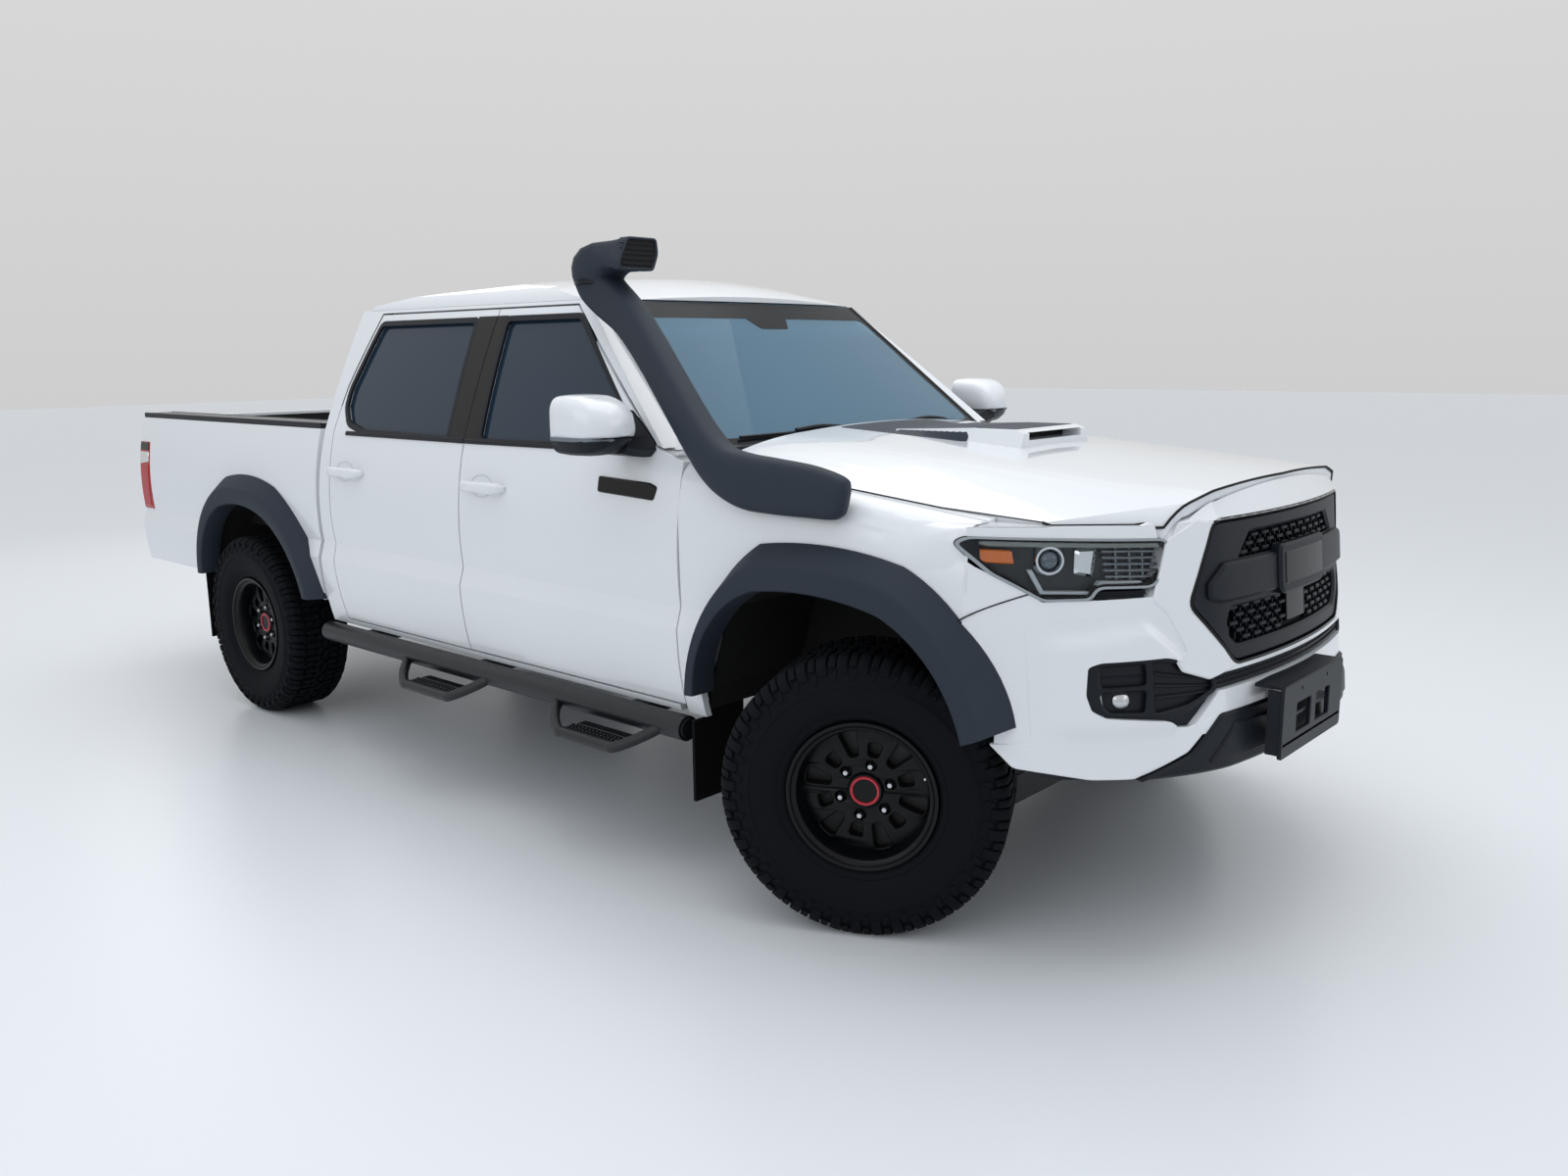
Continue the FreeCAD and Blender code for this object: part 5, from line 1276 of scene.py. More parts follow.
def head_ring(inner, outer, half, power):
    """One ring of the head between two (reach, height) places; power 0 means the mouth."""
    a, b = np.array((ahead(inner[0]), inner[1])), np.array((ahead(outer[0]), outer[1]))
    mid, way = (a + b) / 2, (b - a) / 2
    if power:
        spots = squircle(half, 1.0, power, HEAD_POINTS)
    else:
        turns = [2 * math.pi * k / HEAD_POINTS for k in range(HEAD_POINTS)]
        spots = [(reach_of(MOUTH, t) * math.cos(t) * half,
                  reach_of(MOUTH, t) * math.sin(t) * half / MOUTH_HALF)
                 for t in turns]
    return [(mid[0] + v * way[0], SNORKEL_Y + u, mid[1] + v * way[1]) for u, v in spots]


# %% Head, mouth and collar
head_rows = [((-997, 1734), (-1149, 1734), 66, 2.5), ((-988, 1751), (-1157, 1755), 68, 2.6),
             ((-976, 1758), (-1156, 1784), 70, 2.8), ((-962, 1761), (-1139, 1815), 72, 3.0),
             ((-950, 1761), (-1098, 1840), 74, 3.4), ((-938, 1761), (-1036, 1851), 76, 4.0),
             ((-926, 1760), (-970, 1854), 0.93, 0), ((-908, 1759), (-926, 1855.5), 0.96, 0),
             ((-906, 1758), (-924, 1857), 1.0, 0), ((-888, 1758), (-898, 1857), 1.0, 0)]
piece("snorkel_head", *loft([head_ring(*row) for row in head_rows]), flare_black, "body", crease=32)


def on_mouth(u, v, w):
    return (ahead(-890 - 0.09 * v) + w, SNORKEL_Y + u, 1807.5 + 0.934 * v)


INNER_MOUTH = spread(MOUTH, -9)
relief("snorkel_rim", [MOUTH, INNER_MOUTH], -6, 7, 3, on_mouth, flare_black, "body")
# The mouth's inside is painted shade: a flat black sheet for the hollow behind the slats.
relief("snorkel_mouth", [INNER_MOUTH], 0, 0.8, 0, on_mouth, deep_black, "body")
slats = [relief_mesh([[(-66, v), (end, v), (end, v + 5), (-66, v + 5)]], 0, 4, 1, on_mouth)
         for v, end in ((-32, 56), (-16, 56), (0, 56), (16, 66), (32, 66))]
piece("snorkel_slats", *merged(slats), smooth_black, "body")
collar = [[(ahead(-1073) + 80 * math.cos(a) * s, SNORKEL_Y + 69 * math.sin(a) * s, z)
           for a in np.linspace(0, 2 * math.pi, 40, endpoint=False)]
          for z, s in ((1727, 0.97), (1729, 1.02), (1741, 1.02), (1743, 0.97))]
piece("snorkel_collar", *loft(collar), smooth_black, "body", crease=40)
print(f"snorkel head: {len(head_rows)} rings, {len(slats)} slats")

# %% [markdown]
# ### Steps
# Off-road steps are bent steel tube, powder-coated: a long side tube and two hoops that hang
# below it, each with a treadplate of raised teeth. Curves with a round bevel would do for the
# tubes. Working them out as meshes lets the side tube, its arms and both hoops become one object
# that replaces one CAD node.


# %% Tubes and hoops
def tube(points, radius, count=16, per_span=5):
    """A round bar along a smooth way, as vertices and faces with closed ends."""
    return loft([[spot + u * aside + v * top for u, v in circle(radius, count)]
                 for spot, aside, top in frames(smooth_path(points, per_span))])


STEP_Y, STEP_Z = -888, 441
step_parts, tread_parts = [], []
for start, end, r in ((-2620, -2610, 30), (-2612, -548, 38), (-550, -540, 30)):
    way = [(ahead(reach), STEP_Y, STEP_Z) for reach in (start, (start + end) / 2, end)]
    step_parts.append(tube(way, r, 28, 1))
for x in (-800, -1600, -2350):
    step_parts.append(block_mesh((ahead(x - 35), -880, 431), (ahead(x + 35), -370, 468), 4))
HOOPS = ((-2014, -1509), (-1133, -645))
for rear, front in HOOPS:
    bend = [(rear - 4, -896, 446), (rear + 6, -912, 424), (rear + 56, -962, 392),
            (rear + 116, -998, 368), (rear + 150, -1000, 366), ((rear + front) / 2, -1000, 366),
            (front - 140, -1000, 366), (front - 104, -997, 370), (front - 50, -958, 396),
            (front - 6, -912, 426), (front + 4, -896, 446)]
    step_parts.append(tube([(ahead(reach), y, z) for reach, y, z in bend], 17))
steps = pair("step_tubes", merged(step_parts), powder_black, crease=40)
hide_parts("step_bars")
print(f"steps: {len(step_parts)} tubes and arms on each side")

# %% Treadplates
TOOTH_STEP = 17
for rear, front in HOOPS:
    low, high = rear + 120, front - 110
    tread_parts.append(block_mesh((ahead(low), -998, 366), (ahead(high), -938, 376), 2))
    tread_parts.append(block_mesh((ahead(low + 10), -936, 372), (ahead(high - 10), -900, 380), 2))
    for k in range(int((high - low) / TOOTH_STEP)):
        for row, y in enumerate((-992, -970, -950)):
            x = low + 6 + TOOTH_STEP * k + 8 * (row % 2)
            tread_parts.append(block_mesh((ahead(x), y - 6, 375), (ahead(x + 9), y + 6, 382), 2.5))
pair("step_treads", merged(tread_parts), powder_black)
print(f"treadplates: {len(tread_parts) - 2 * len(HOOPS)} teeth on each side")

# %% [markdown]
# ### Window seals, pillar film and belt strips
# A rubber seal runs round each side window, the door frame between the two windows is covered
# with black film, and a satin strip closes the gap at the belt line. All three are thin, but
# without them the glass looks painted on. They belong to the doors, so each rides on its own door
# and swings with it.

# %% Window trim
DOOR_GAP_REAR, DOOR_GAP_FRONT = -1662.4, -1659.6
WINDOWS = {
    "front": [(-1572, 1237), (-760, 1249), (-1205, 1634), (-1596, 1634)],
    "rear": [(-2330, 1243), (-1762, 1239), (-1782, 1634), (-2400, 1634), (-2484, 1392),
             (-2484, 1330), (-2440, 1268)]}
TRIM_ENDS = {"front": ((DOOR_GAP_FRONT, -1586, 14), (DOOR_GAP_FRONT, -705, 1228)),
             "rear": ((-1772, DOOR_GAP_REAR, 0), (-2446, DOOR_GAP_REAR, 1222))}
for side, word in SIDES:
    at_side = on_side(side)
    for which, corners in WINDOWS.items():
        body = f"{which}_door_{word}"
        hole = [(ahead(x), z) for x, z in corners]
        relief(f"{which}_seal_{word}", [rounded(spread(hole, 15), 26, 5),
                                        rounded(spread(hole, -5), 16, 5)], -8, 3.0, 2, at_side,
               smooth_black, body, 60)
        (rear_x, front_x, lean), (belt_rear, belt_front, belt_high) = TRIM_ENDS[which]
        film = [(ahead(rear_x), 1228), (ahead(front_x), 1228), (ahead(front_x - lean), 1650),
                (ahead(rear_x), 1650)]
        relief(f"{which}_pillar_{word}", [film], -4, 2.2, 1, at_side, gloss_black, body, 60)
        strip = rounded([(ahead(belt_rear), 1222), (ahead(belt_front), belt_high),
                         (ahead(belt_front), 1240), (ahead(belt_rear), 1238)], 4, 2)
        relief(f"{which}_belt_{word}", [strip], -2, 5, 2.5, at_side, smooth_black, body, 60)
# Behind the gap between the two doors' films lies a black strip: painted shade, so the gap reads
# dark.
fill_strip = [(ahead(-1676), 1226), (ahead(-1650), 1226), (ahead(-1662), 1652),
              (ahead(-1686), 1652)]
pair("pillar_fill", relief_mesh([fill_strip], -14, -3, 0, on_side(-1), 60), deep_black)
print(f"window trim: a gap of {DOOR_GAP_FRONT - DOOR_GAP_REAR:.1f} mm at the middle pillar")

# %% [markdown]
# ### Door handles and bare plates
# The handles are painted pull bars that rise from the door and end in it, over a round cup for
# the fingers. The bar is a loft whose rows give distance from the body side and thickness, so it
# keeps its distance where the side leans. The shade in the cup is a thin ring of a slightly
# darker white; a pressed cup would need the CAD door to change. Ahead of the front handle each
# side has a small bare plate in gloss black.

# %% Handles and plates
# White enamel in the shade of the bar.
cup_shade = finish("shaded_enamel", "#C4CAD2", 0.35)
# how far along the bar, its distance from the body side, its height, half its thickness and width
HANDLE_ROWS = ((-98, 2, 1086, 9, 13), (-88, 18, 1086, 11, 16), (-55, 33, 1087, 12, 18),
               (20, 36, 1087, 12, 18), (66, 33, 1086, 13, 20), (100, 24, 1086, 12, 18),
               (120, 9, 1086, 8, 12), (125, 1, 1086, 4, 7))
for side, word in SIDES:
    at_side = on_side(side)
    for which, x0 in (("front", -1524), ("rear", -2415)):
        rows = smooth_path([(ahead(x0 + reach), *row) for reach, *row in HANDLE_ROWS], 6)
        rows = [(x, side * (flank(z) + w), z, t, h) for x, w, z, t, h in rows]
        body = f"{which}_door_{word}"
        piece(f"{which}_handle_{word}", *loft(flattened(rows, 2.8, 24)), white, body, crease=60)
        cup, ring_in = [[(ahead(x0 - 8) + wide * u, 1087 + high * v) for u, v in circle(1.0, 40)]
                        for wide, high in ((62, 38), (59, 35))]
        relief(f"{which}_cup_{word}", [cup, ring_in], -2, 0.9, 0.5, at_side, cup_shade, body, 40)
    badge = [(ahead(reach), z) for reach, z in ((-930, 1108), (-680, 1098), (-668, 1138),
                                                (-700, 1148), (-930, 1156))]
    relief("badge_plate_" + word, [rounded(badge, 8, 3)], -3, 5, 2.5, at_side, gloss_black,
           "front_door_" + word, 40)
print("handles: four bars with a cup each; two bare plates")

# %% [markdown]
# ## Mirrors, glass, cowl, load bed and rear end
# ### Mirrors
# A door mirror is a painted cap over a black base, with a metallic strip between them, on a foot
# that grows out of the door's corner. One shell could be split by material, but then the strip
# would have no thickness. The same rings are drawn three times instead, each cut off at its own
# heights and drawn a little larger or smaller.


# %% Mirror shells
MIRROR_POINTS = 40


def mirror_shell(share, low, high):
    """The right-hand mirror's shell between two heights, scaled by share."""
    rings = []
    for x, half_y, half_z, power, y, z in (
            (-876, 85, 78, 4.2, -1000, 1318), (-869, 91, 85, 4.2, -1000, 1318),
            (-832, 92, 88, 3.8, -1000, 1318), (-770, 92, 86, 3.4, -1000, 1317),
            (-735, 88, 78, 3.0, -997, 1315), (-708, 75, 62, 2.6, -989, 1313),
            (-690, 54, 42, 2.3, -982, 1311), (-680, 27, 20, 2.0, -976, 1310)):
        rings.append([(ahead(x), y + u * share, min(max(z + v * share, low), high))
                      for u, v in squircle(half_y, half_z, power, MIRROR_POINTS)])
    return loft(rings)


foot = loft([[(ahead(x), y, z) for x, z in ((-836, low), (-712, low), (-694, low + 20),
                                            (-704, high), (-820, high))]
             for y, low, high in ((-955, 1236, 1290), (-920, 1228, 1286), (-880, 1222, 1280),
                                  (-846, 1222, 1268))])
sail = rounded([(ahead(reach), z) for reach, z in ((-704, 1238), (-866, 1238), (-884, 1350),
                                                   (-836, 1352), (-706, 1262))], 8, 3)
mirror_view = [(-1000 + u, 1318 + v) for u, v in squircle(79, 72, 4.2, MIRROR_POINTS)]
print(f"mirror: rings of {MIRROR_POINTS} points, a foot of {len(foot[0])} points")

# %% Mirror pieces on both doors
# Plated ABS with a dull finish: one thin line of grey metal.
strip_metal = finish("satin_plated_abs", "#777D83", 0.25, metal=1.0)
MIRROR_PIECES = (
    ("cap", mirror_shell(1.0, 1284, 1500), white),
    ("base", mirror_shell(0.985, 1100, 1284), smooth_black),
    ("strip", mirror_shell(1.02, 1276, 1287), strip_metal),
    ("foot", foot, smooth_black),
    ("sail", relief_mesh([sail], -4, 6, 3, on_side(-1), 30), smooth_black),
    ("view", relief_mesh([mirror_view], 0, 1.5, 0.5, lambda u, v, w: (ahead(-876) - w, u, v)),
     mirror_glass))
for side, word in SIDES:
    body = "front_door_" + word
    for part, mesh_parts, material in MIRROR_PIECES:
        shown = mesh_parts if side < 0 else mirror_mesh(mesh_parts)
        obj = piece(f"mirror_{part}_{word}", *shown, material, body, crease=40)
        if part == "cap":
            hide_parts("mirror_" + word)
print(f"mirrors: {len(MIRROR_PIECES)} pieces on each side")

# %% [markdown]
# ### Windshield border, wipers and cowl
# A windshield is glued to the body, and a fired black border hides the glue. It is a thin ring
# just above the glass, with a wider patch for the sensors at the top. The wipers are tubes laid
# along the glass a few millimetres off it. The cowl below them fills the space between lid and
# glass.


# %% The windshield's surface
SCREEN_FOOT, SCREEN_RISE, SCREEN_RUN = 1236.3, 449.7, 544


def on_screen(y, z, out):
    """A point off the windshield, measured square to its slope."""
    reach = arc_value(min(abs(y), 789), (-790, -645), (0, -558), (790, -645))
    slope = SCREEN_RUN / SCREEN_RISE
    return (ahead(reach) - slope * (z - SCREEN_FOOT) + 0.637 * out, y, z + 0.771 * out)


def screen_half(z):
    return 752 - 140 * (z - SCREEN_FOOT) / SCREEN_RISE


def screen_outline(foot, top, edge):
    """The windshield's outline between two heights, drawn in from its edge."""
    low, high = screen_half(foot) - edge, screen_half(top) - edge
    return [(-low, foot), (low, foot), (high, top), (-high, top)]


# %% Border, strips and wipers
border = [screen_outline(1238, 1684, 1), rounded(screen_outline(1262, 1632, 34), 30, 5)]
relief("screen_border", border, -0.5, 0.8, 0, on_screen, frit, "body", 40)
patch = rounded([(-105, 1634), (105, 1634), (70, 1596), (-70, 1596)], 10, 3)
relief("sensor_patch", [patch], -0.5, 0.9, 0, on_screen, frit, "body", 40)
for side, word in SIDES:
    strip = [(side * (screen_half(z) + off), z)
             for off, z in ((-9, 1242), (8, 1242), (8, 1684), (-9, 1684))]
    relief("screen_strip_" + word, [strip], -3, 4, 2, on_screen, smooth_black, "body", 40)
wiper_parts = []
for start, end, pivot in ((-570, -90, -62), (10, 490, 520)):
    blade = [(start, 1258, 9), ((start + end) / 2, 1262, 9), (end, 1266, 9)]
    arm = [(pivot, 1242, 6), (pivot - 50, 1252, 24), (pivot - 170, 1264, 24),
           (start + 230, 1264, 14)]
    nut = [(pivot, 1240, -6), (pivot, 1242, 8), (pivot, 1244, 26)]
    for way, radius, count, spans in ((blade, 5, 8, 4), (arm, 8, 8, 4), (nut, 15, 14, 2)):
        wiper_parts.append(tube([on_screen(*p) for p in way], radius, count, spans))
piece("wipers", *merged(wiper_parts), smooth_black, "body")
print(f"windshield foot: {2 * screen_half(SCREEN_FOOT):.0f} mm; {len(wiper_parts)} wiper parts")

# %% [markdown]
# The lid and the panels round it are CAD pieces, so their height is found by dropping a ray on
# them. That costs little, and the cowl, the decals and the gap lines then follow whatever shape
# the CAD part has.


# %% Height of the lid, and the cowl
DOWN, ABOVE = Vector((0, 0, -1)), 2000


def tree_of(name):
    """A ray-casting tree of a CAD node, in millimetres."""
    mesh = nodes[name].data
    mesh.calc_loop_triangles()
    return BVHTree.FromPolygons([v.co / MM for v in mesh.vertices],
                                [t.vertices for t in mesh.loop_triangles])


hood_tree = tree_of("hood")


def hood_high(x, y):
    """Height of the lid at a point seen from above."""
    hit = hood_tree.ray_cast(Vector((x, y, ABOVE)), DOWN)
    return hit[0].z if hit[0] else 1200.0


rows = []
for y in np.linspace(-752, 752, 41):
    foot_x, _, foot_z = on_screen(y, 1243, 3)
    rows.append([(ahead(-519), y, min(hood_high(ahead(-524), min(max(y, -745), 745)) - 13, 1262)),
                 (ahead(-540), y, 1246), (foot_x + 4, y, 1244), (foot_x, y, foot_z)])
piece("cowl", *loft(rows, capped=False), smooth_black, "body")
print(f"cowl: {len(rows)} stations; lid {hood_high(ahead(0), 0):.0f} mm high at the front axle")

# %% [markdown]
# ### Hood decal and scoop
# A satin black film lies on the lid in front of the windshield and over the scoop, against glare.
# It is a sheet 0.7 mm proud that takes its height from the lid, so it follows the lid's ridges as
# film does. A second material on the lid's own faces would end in steps, because the CAD faces
# don't follow the film's outline.


# %% Hood decal
def on_hood(x, y, out):
    return (x, y, hood_high(x, y) + out)


# Satin vinyl: greyer than the plastic trim, without a sharp reflection.
decal = finish("satin_vinyl_film", "#2F3742", 0.5, **shine(0.25))
sheet = rounded([(ahead(-500), -250), (ahead(-60), -205), (ahead(-60), 205), (ahead(-500), 250)],
                20, 4)
relief("hood_decal", [sheet], -1, 0.7, 0, on_hood, decal, "hood", 22)
patch = rounded([(ahead(-52), -160), (ahead(88), -160), (ahead(88), 160), (ahead(-52), 160)], 8, 3)
relief("scoop_patch", [patch], -1, 0.8, 0, on_hood, decal, "hood", 22)
# The scoop's mouth is painted shade: a flat black sheet for its dark opening.
relief("scoop_mouth", [[(-150, 1260), (150, 1260), (150, 1281), (-150, 1281)]], 0, 1, 0,
       lambda y, z, w: (ahead(61) + w, y, z), deep_black, "hood")
print(f"film on the lid: {len(sheet)} points round its edge")

# %% [markdown]
# ### Gap lines round the hood
# Panel gaps are what makes separate panels read as such. The CAD gap is right for the joints but
# catches light inside, so a thin dark bead lies in it as painted shade, dark as a deep real gap.
# It follows the lid's edge and the highest panel next to it.

# %% Gap lines
panel_trees = [hood_tree, tree_of("front_fenders"), tree_of("front_bumper")]


def panels_high(x, y):
    """The highest painted surface at a point seen from above."""
    hits = [tree.ray_cast(Vector((x, y, ABOVE)), DOWN)[0] for tree in panel_trees]
    return max((hit.z for hit in hits if hit), default=1100.0)


lid_edge = divided([(ahead(-440), -770.9), (ahead(250), -762), (ahead(536), -728),
                    (ahead(732), -556), (ahead(758), -484), (ahead(774), -384), (ahead(792), 0),
                    (ahead(792), 10)], 24)
lid_edge = lid_edge[:next(k for k, (x, y) in enumerate(lid_edge) if y > 0)]
seam = []
for k, (x, y) in enumerate(lid_edge):
    before, after = lid_edge[max(k - 1, 0)], lid_edge[min(k + 1, len(lid_edge) - 1)]
    way = np.array(after) - before
    off = np.array((way[1], -way[0])) / np.linalg.norm(way)
    spot = np.array((x, y))
    high = max(panels_high(*(spot - off * 3)), panels_high(*(spot + off * 8)))
    seam.append((*(spot + off * 2.5), high))
side_part = [p for p in seam if p[0] < ahead(520)]
front_part = [p for p in seam if p[0] > ahead(500)]
# Painted shade: dark beads laid in the gaps round the lid and beside the lamps.
pair("lid_seam", merged([tube([(x, y, z - 0.3) for x, y, z in side_part], 1.6, 8, 1),
                         tube([(x, y, z - 0.6) for x, y, z in front_part], 3.4, 8, 1)]), deep_black)
pair("bumper_seam", tube([on_nose(-800, 957, 0.2), on_nose(-836, 938, 0.2), on_nose(-866, 917, 0.2),
                          (ahead(400), -889, 898), (ahead(380), -888.5, 884)], 1.8, 8, 4),
     deep_black)
print(f"lid seam: {len(seam)} points on each side")

# %% [markdown]
# ### Wheel houses, flaps and load bed
# The rear wheel houses are vaults over the wheels, lined with sprayed black, and the same vault
# shows from above as a tub in the load bed. The bed's floor is ribbed, so that a load slides on
# it and water runs off. The ribs could be a bump, but they stand 9 mm high and show at the edge,
# so each is a chamfered block.


# %% Wheel houses
def arch_house(line, across):
    """A vault over an arch line, from the outer side to the inner one, where a wall closes it."""
    verts, faces = loft([[(x, y, z) for y in across] for x, z in line], around=False, capped=False)
    wall = [(x, across[-1], z) for x, z in line]
    return verts + wall, faces + [tuple(range(len(verts), len(verts) + len(wall)))]


HOUSE_REAR = ahead(-3480)
arch_rows = [(x + (8 if x < HOUSE_REAR else 0), z) for x, z in arch_line(0.3, False)]
pair("rear_wheel_house", arch_house(arch_rows, (-872, -700, -546)), deep_black)
flaps = [block_mesh((REAR_AXLE - 452, -905, 262), (REAR_AXLE - 444, -700, 570)),
         block_mesh((REAR_AXLE - 453, -900, 268), (REAR_AXLE - 451, -705, 276))]
pair("rear_flaps", merged(flaps), flap_rubber)
pair("apron_skirt", block_mesh((ahead(-530), -436, 590), (ahead(560), -430, 660)), deep_black)
print(f"wheel house: {len(arch_rows)} points round the arch")

# %% Load bed
BED_START = ahead(-2646)
bed_in, bed_out = BED_END + 62, BED_START - 61
liner = [block_mesh((bed_in, -718, 775), (bed_out, 718, 778.5))]
for k in range(17):
    y = -680 + 85 * k
    liner.append(block_mesh((bed_in + 12, y - 18, 778), (bed_out - 12, y + 18, 787), 4))
liner.append(block_mesh((bed_out - 4, -716, 778), (bed_out, 716, 1236)))
for k in range(12):
    y = -660 + 120 * k
    liner.append(block_mesh((bed_out - 10, y - 22, 800), (bed_out - 3, y + 22, 1200)))
piece("bed_liner", *merged(liner), deep_black, "body")
walls = [block_mesh((bed_in, -719, 776), (bed_out, -714, 1238))]
for k in range(11):
    x = bed_in + 110 + 145 * k
    walls.append(block_mesh((x - 26, -716, 1020), (x + 26, -706, 1190)))
walls.append(block_mesh((bed_in + 30, -716, 1196), (bed_out - 10, -700, 1222)))
pair("bed_walls", merged(walls), deep_black)
tub_line = [(x, z) for x, z in arch_line(0.76, False) if z > 772]
pair("tub_liner", arch_house(tub_line, (-716, -515)), deep_black)
gate = [block_mesh((BED_END + 52, -700, 790), (BED_END + 55, 700, 1226))]
for k in range(6):
    gate.append(block_mesh((BED_END + 54, -640, 840 + 62 * k), (BED_END + 60, 640, 866 + 62 * k),
                           2.5))
piece("gate_liner", *merged(gate), deep_black, "tailgate")
rail_stations = (BED_END + 2, (BED_END + BED_START) / 2, BED_START - 2)
caps = [tube([(x, y, 1259) for x in rail_stations], 4, 8, 1) for y in (-838, -716)]
pair("rail_beads", merged(caps), smooth_black)
print(f"load bed: {bed_out - bed_in:.0f} mm long inside, {len(liner)} pieces in its liner")

# %% [markdown]
# ### Tail lamps, tailgate and rear bumper
# The tail lamps wrap the rear corners, red with a clear band. Each is two patches, one on the
# body side and one on the rear face, because a single wrapped one would cross a sharp corner. The
# tailgate has a black handle, the bumper a recess with a bare plate and black pads on top.

# %% Tail lamps on the side
at_side = on_side(-1)
for name, corners, radius, high, bevel, material in (
        ("top", [(4, 1086), (96, 1086), (92, 1124), (4, 1124)], 10, 4.5, 2, gloss_black),
        ("clear", [(5, 1022), (96, 1034), (96, 1080), (5, 1080)], 8, 4.5, 2, chrome),
        ("red", [(5, 812), (84, 822), (96, 1026), (5, 1014)], 10, 5, 3, red_lens)):
    outline = rounded([(BED_END + x, z) for x, z in corners], radius, 3)
    pair("tail_" + name, relief_mesh([outline], -4, high, bevel, at_side, 30), material)
    print(f"tail lamp, {name}: {corners[-1][1] - corners[0][1]} mm high")


# %% Tail lamps and handle on the rear face
def on_tail(y, z, out):
    return (BED_END - out, y, z)


def tail_window(low, high):
    """A rounded patch of the tail lamp's rear face between two heights."""
    return relief_mesh([rounded([(-846, low), (-772, low), (-772, high), (-846, high)], 8, 3)], -2,
                       2, 2, on_tail)


pair("tail_face_red", merged([tail_window(812, 932), tail_window(1016, 1120)]), red_lens)
pair("tail_face_clear", tail_window(940, 1008), chrome)
handle = rounded([(-120, 1130), (120, 1130), (112, 1184), (-112, 1184)], 12, 4)
relief("gate_handle", [handle], -2, 5, 3, on_tail, smooth_black, "tailgate")
pull = rounded([(-78, 1142), (78, 1142), (74, 1158), (-74, 1158)], 6, 3)
relief("gate_pull", [pull], 4, 12, 3, on_tail, gloss_black, "tailgate")
print(f"tailgate handle: {2 * max(y for y, _ in handle):.0f} mm wide")

# %% Rear bumper
rear_face = BED_END - 140


def on_bumper(y, z, out):
    return (rear_face - out, y, z)


recess = rounded([(-190, 592), (190, 592), (190, 700), (-190, 700)], 12, 4)
relief("plate_recess", [recess], -2, 0.2, 0, on_bumper, smooth_black, "body")
plate = rounded([(-150, 598), (150, 598), (150, 694), (-150, 694)], 8, 3)
relief("rear_plate", [plate], -1, 0.4, 0, on_bumper, plate_blank, "body")
pads = [block_mesh((rear_face + 6, -545, 708), (BED_END - 20, 545, 713), 3),
        block_mesh((rear_face + 40, -800, 708), (BED_END - 24, -565, 713), 3),
        block_mesh((rear_face + 40, 565, 708), (BED_END - 24, 800, 713), 3)]
piece("bumper_pads", *merged(pads), smooth_black, "body")
print(f"rear: {len(pads)} pads on the bumper, its face at {rear_face:.0f} mm")

# %% [markdown]
# ### Softened edges
# Real panels have no sharp edges: even a pressed fold has a radius of two millimetres, and the
# light caught there outlines each panel. A bevel modifier on the CAD pieces adds it without
# changing their meshes. The CAD meshes come as loose triangles, so a weld joins them first, and
# weighted normals keep the flat faces flat.

# %% Bevels on the painted CAD pieces
PANEL_RADIUS, JOIN_WITHIN = 2.2, 0.02
for name in PAINTED:
    modifiers = nodes[name].modifiers
    modifiers.new("joined", "WELD").merge_threshold = JOIN_WITHIN * MM
    edges = modifiers.new("edges", "BEVEL")
    edges.width, edges.segments, edges.limit_method = PANEL_RADIUS * MM, 2, "ANGLE"
    edges.angle_limit = math.radians(32)
    modifiers.new("even", "WEIGHTED_NORMAL").keep_sharp = True
print(f"{len(PAINTED)} painted pieces with edges of {PANEL_RADIUS} mm")

# %% [markdown]
# ## Floor, light and camera
# The vehicle stands on a pale floor that fades into a pale room. A white background lamp would
# flood the object from all sides. Instead only the rays that the camera, a reflection or glass
# sends out see the pale room, and the light itself comes from a dimmer, cooler sky and four large
# lamps.

# %% Floor
# Smoothly rolled pale paint: it takes the shadow and a soft mirror image of the tyres.
floor_mat = finish("rolled_floor_paint", "#E9EAEC", 0.3)
floor_mesh = bpy.data.meshes.new("floor")
floor_mesh.from_pydata([(-40, -40, 0), (40, -40, 0), (40, 40, 0), (-40, 40, 0)], [], [(0, 1, 2, 3)])
floor = bpy.data.objects.new("floor", floor_mesh)
bpy.context.scene.collection.objects.link(floor)
floor_mesh.materials.append(floor_mat)
print(f"floor: {floor_mesh.vertices[1].co.x - floor_mesh.vertices[0].co.x:.0f} m square")

# %% Background
world = bpy.data.worlds.new("pale_room")
bpy.context.scene.world = world
world.use_nodes = True
sky = world.node_tree
sky.nodes.clear()
where = add(sky, "ShaderNodeTexCoord")
height = add(sky, "ShaderNodeSeparateXYZ", {"Vector": where.outputs["Generated"]})
shade = add(sky, "ShaderNodeMapRange", {"Value": height.outputs["Z"], "From Min": -0.1,
                                        "From Max": 0.7, "To Min": 0.7, "To Max": 0.92})
seen = add(sky, "ShaderNodeBackground", {"Color": shade.outputs["Result"], "Strength": 0.86})
glow = add(sky, "ShaderNodeMapRange", {"Value": height.outputs["Z"], "From Min": 0.0,
                                       "From Max": 0.8, "To Min": 0.26, "To Max": 1.0})
lit = add(sky, "ShaderNodeBackground", {"Color": (0.88, 0.94, 1.0, 1.0),
                                        "Strength": glow.outputs["Result"]})
rays = add(sky, "ShaderNodeLightPath")
one = add(sky, "ShaderNodeMath", {0: rays.outputs["Is Camera Ray"],
                                  1: rays.outputs["Is Glossy Ray"]}, operation="MAXIMUM")
two = add(sky, "ShaderNodeMath", {0: one.outputs[0], 1: rays.outputs["Is Transmission Ray"]},
          operation="MAXIMUM")
mix = add(sky, "ShaderNodeMixShader", {0: two.outputs[0], 1: lit.outputs[0], 2: seen.outputs[0]})
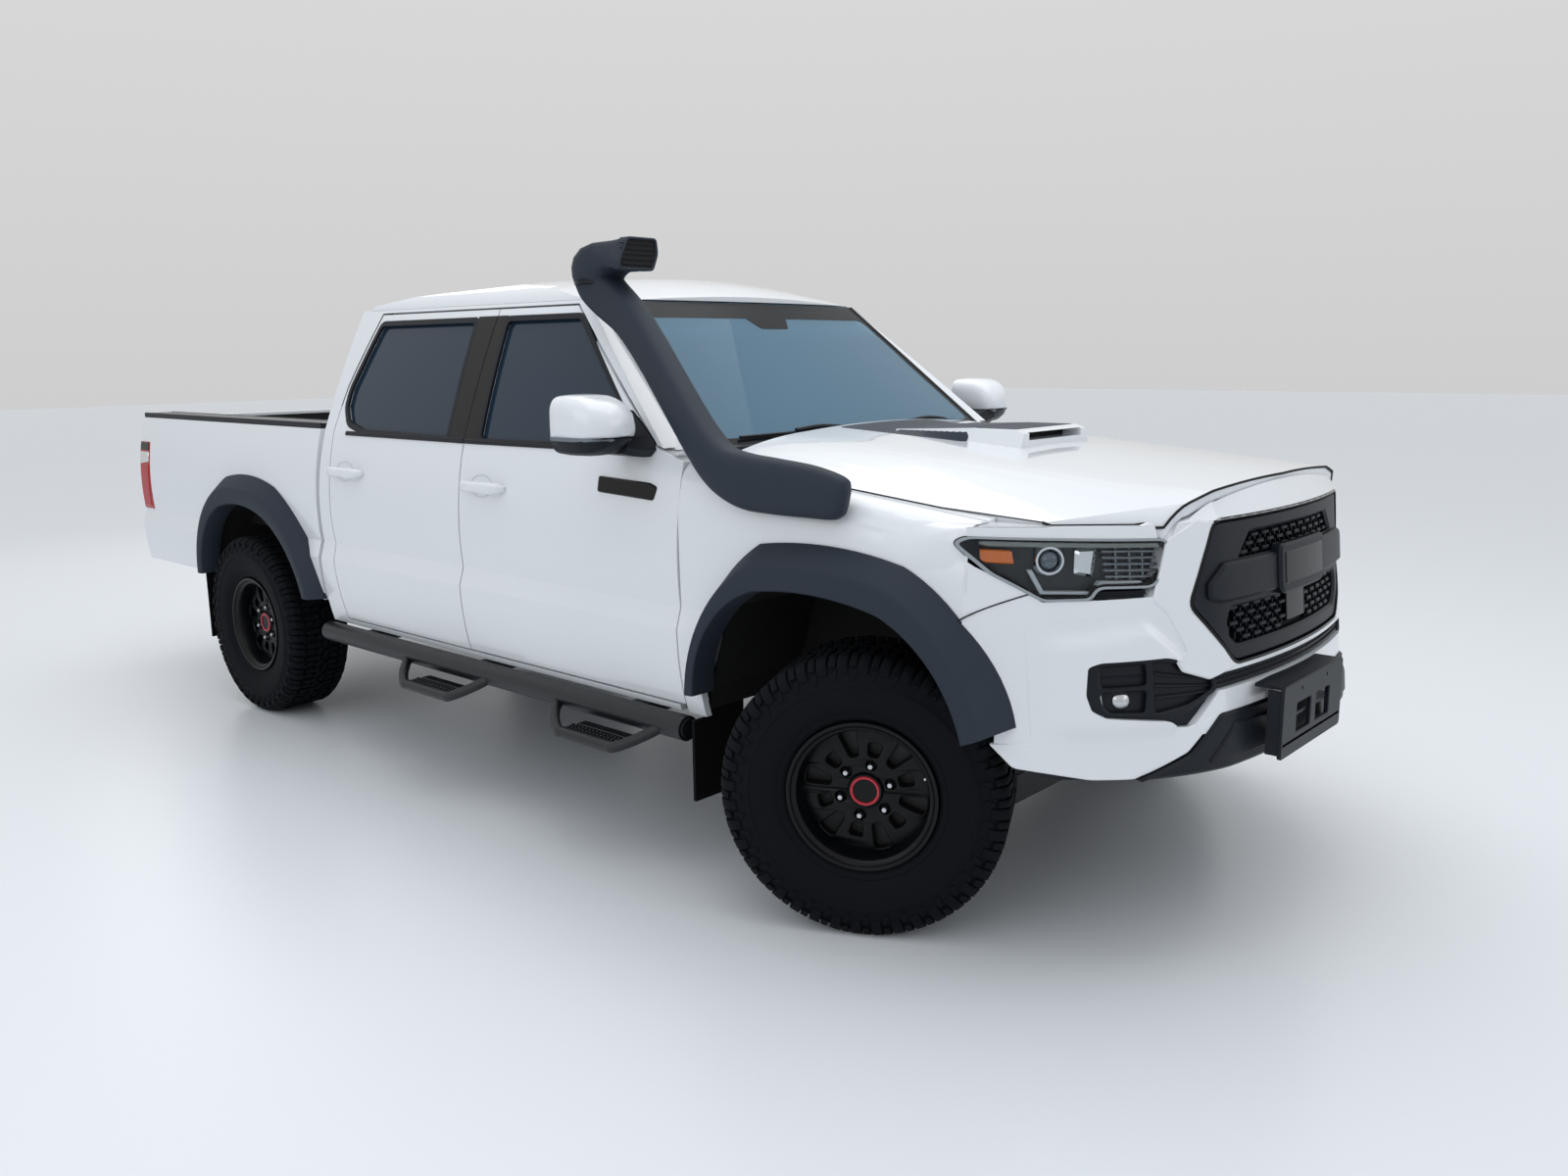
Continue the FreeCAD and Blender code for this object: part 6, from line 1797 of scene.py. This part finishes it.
add(sky, "ShaderNodeOutputWorld", {"Surface": mix.outputs[0]})
print(f"background of {len(sky.nodes)} nodes")

# %% [markdown]
# ### Lamps
# Car studios use soft boxes the size of the car, because paint shows their shape. A large roof
# lamp gives the shading, a low one on the photographed side opens the shadows, and two weaker
# ones light the ends.


# %% Lamps
def lamp(name, spot, aim, wide, long, power, colour=(1.0, 1.0, 1.0)):
    """A soft rectangular lamp at a spot in metres, turned towards an aim."""
    data = bpy.data.lights.new(name, "AREA")
    data.shape, data.size, data.size_y = "RECTANGLE", wide, long
    data.energy, data.color = power, colour
    obj = bpy.data.objects.new(name, data)
    obj.location = spot
    obj.rotation_euler = (Vector(aim) - Vector(spot)).to_track_quat("-Z", "Y").to_euler()
    bpy.context.scene.collection.objects.link(obj)


lamp("roof_lamp", (0.5, 0.6, 5.2), (0.2, 0, 0), 7.0, 4.0, 100)
lamp("side_lamp", (0.8, -6.2, 3.0), (0.2, 0, 0.8), 6.0, 2.6, 42, (0.97, 0.985, 1.0))
lamp("front_lamp", (7.2, 1.6, 3.2), (1.5, 0, 0.8), 4.0, 2.4, 26, (0.97, 0.985, 1.0))
lamp("back_lamp", (-6.5, 2.0, 3.4), (-1.0, 0, 1.0), 4.0, 2.4, 30)
print(f"{len(bpy.data.lights)} lamps")

# %% [markdown]
# ### Camera
# The camera stands where the photograph was taken. Its place, turn and lens were fitted to the
# known wheelbase, track and tyres; the matrix is built from yaw, pitch and roll, because a
# track-to constraint gives no roll.

# %% Camera
EYE = (3.7765, -3.295, 1.519)
yaw, pitch, roll = math.radians(132.04), math.radians(-10.75), math.radians(-0.63)
look = Vector((math.cos(pitch) * math.cos(yaw), math.cos(pitch) * math.sin(yaw), math.sin(pitch)))
flat_right = look.cross(Vector((0, 0, 1))).normalized()
flat_up = flat_right.cross(look)
right = math.cos(roll) * flat_right + math.sin(roll) * flat_up
upward = -math.sin(roll) * flat_right + math.cos(roll) * flat_up
view = bpy.data.cameras.new("view")
view.sensor_fit, view.sensor_width, view.lens = "HORIZONTAL", 36.0, 28.62
camera = bpy.data.objects.new("view", view)
axes = [(right[k], upward[k], -look[k], EYE[k]) for k in range(3)]
camera.matrix_world = Matrix(axes + [(0, 0, 0, 1)])
bpy.context.scene.collection.objects.link(camera)
bpy.context.scene.camera = camera
bpy.context.scene.view_settings.view_transform = "Standard"
print(f"lens {view.lens:.2f} mm at {EYE}")
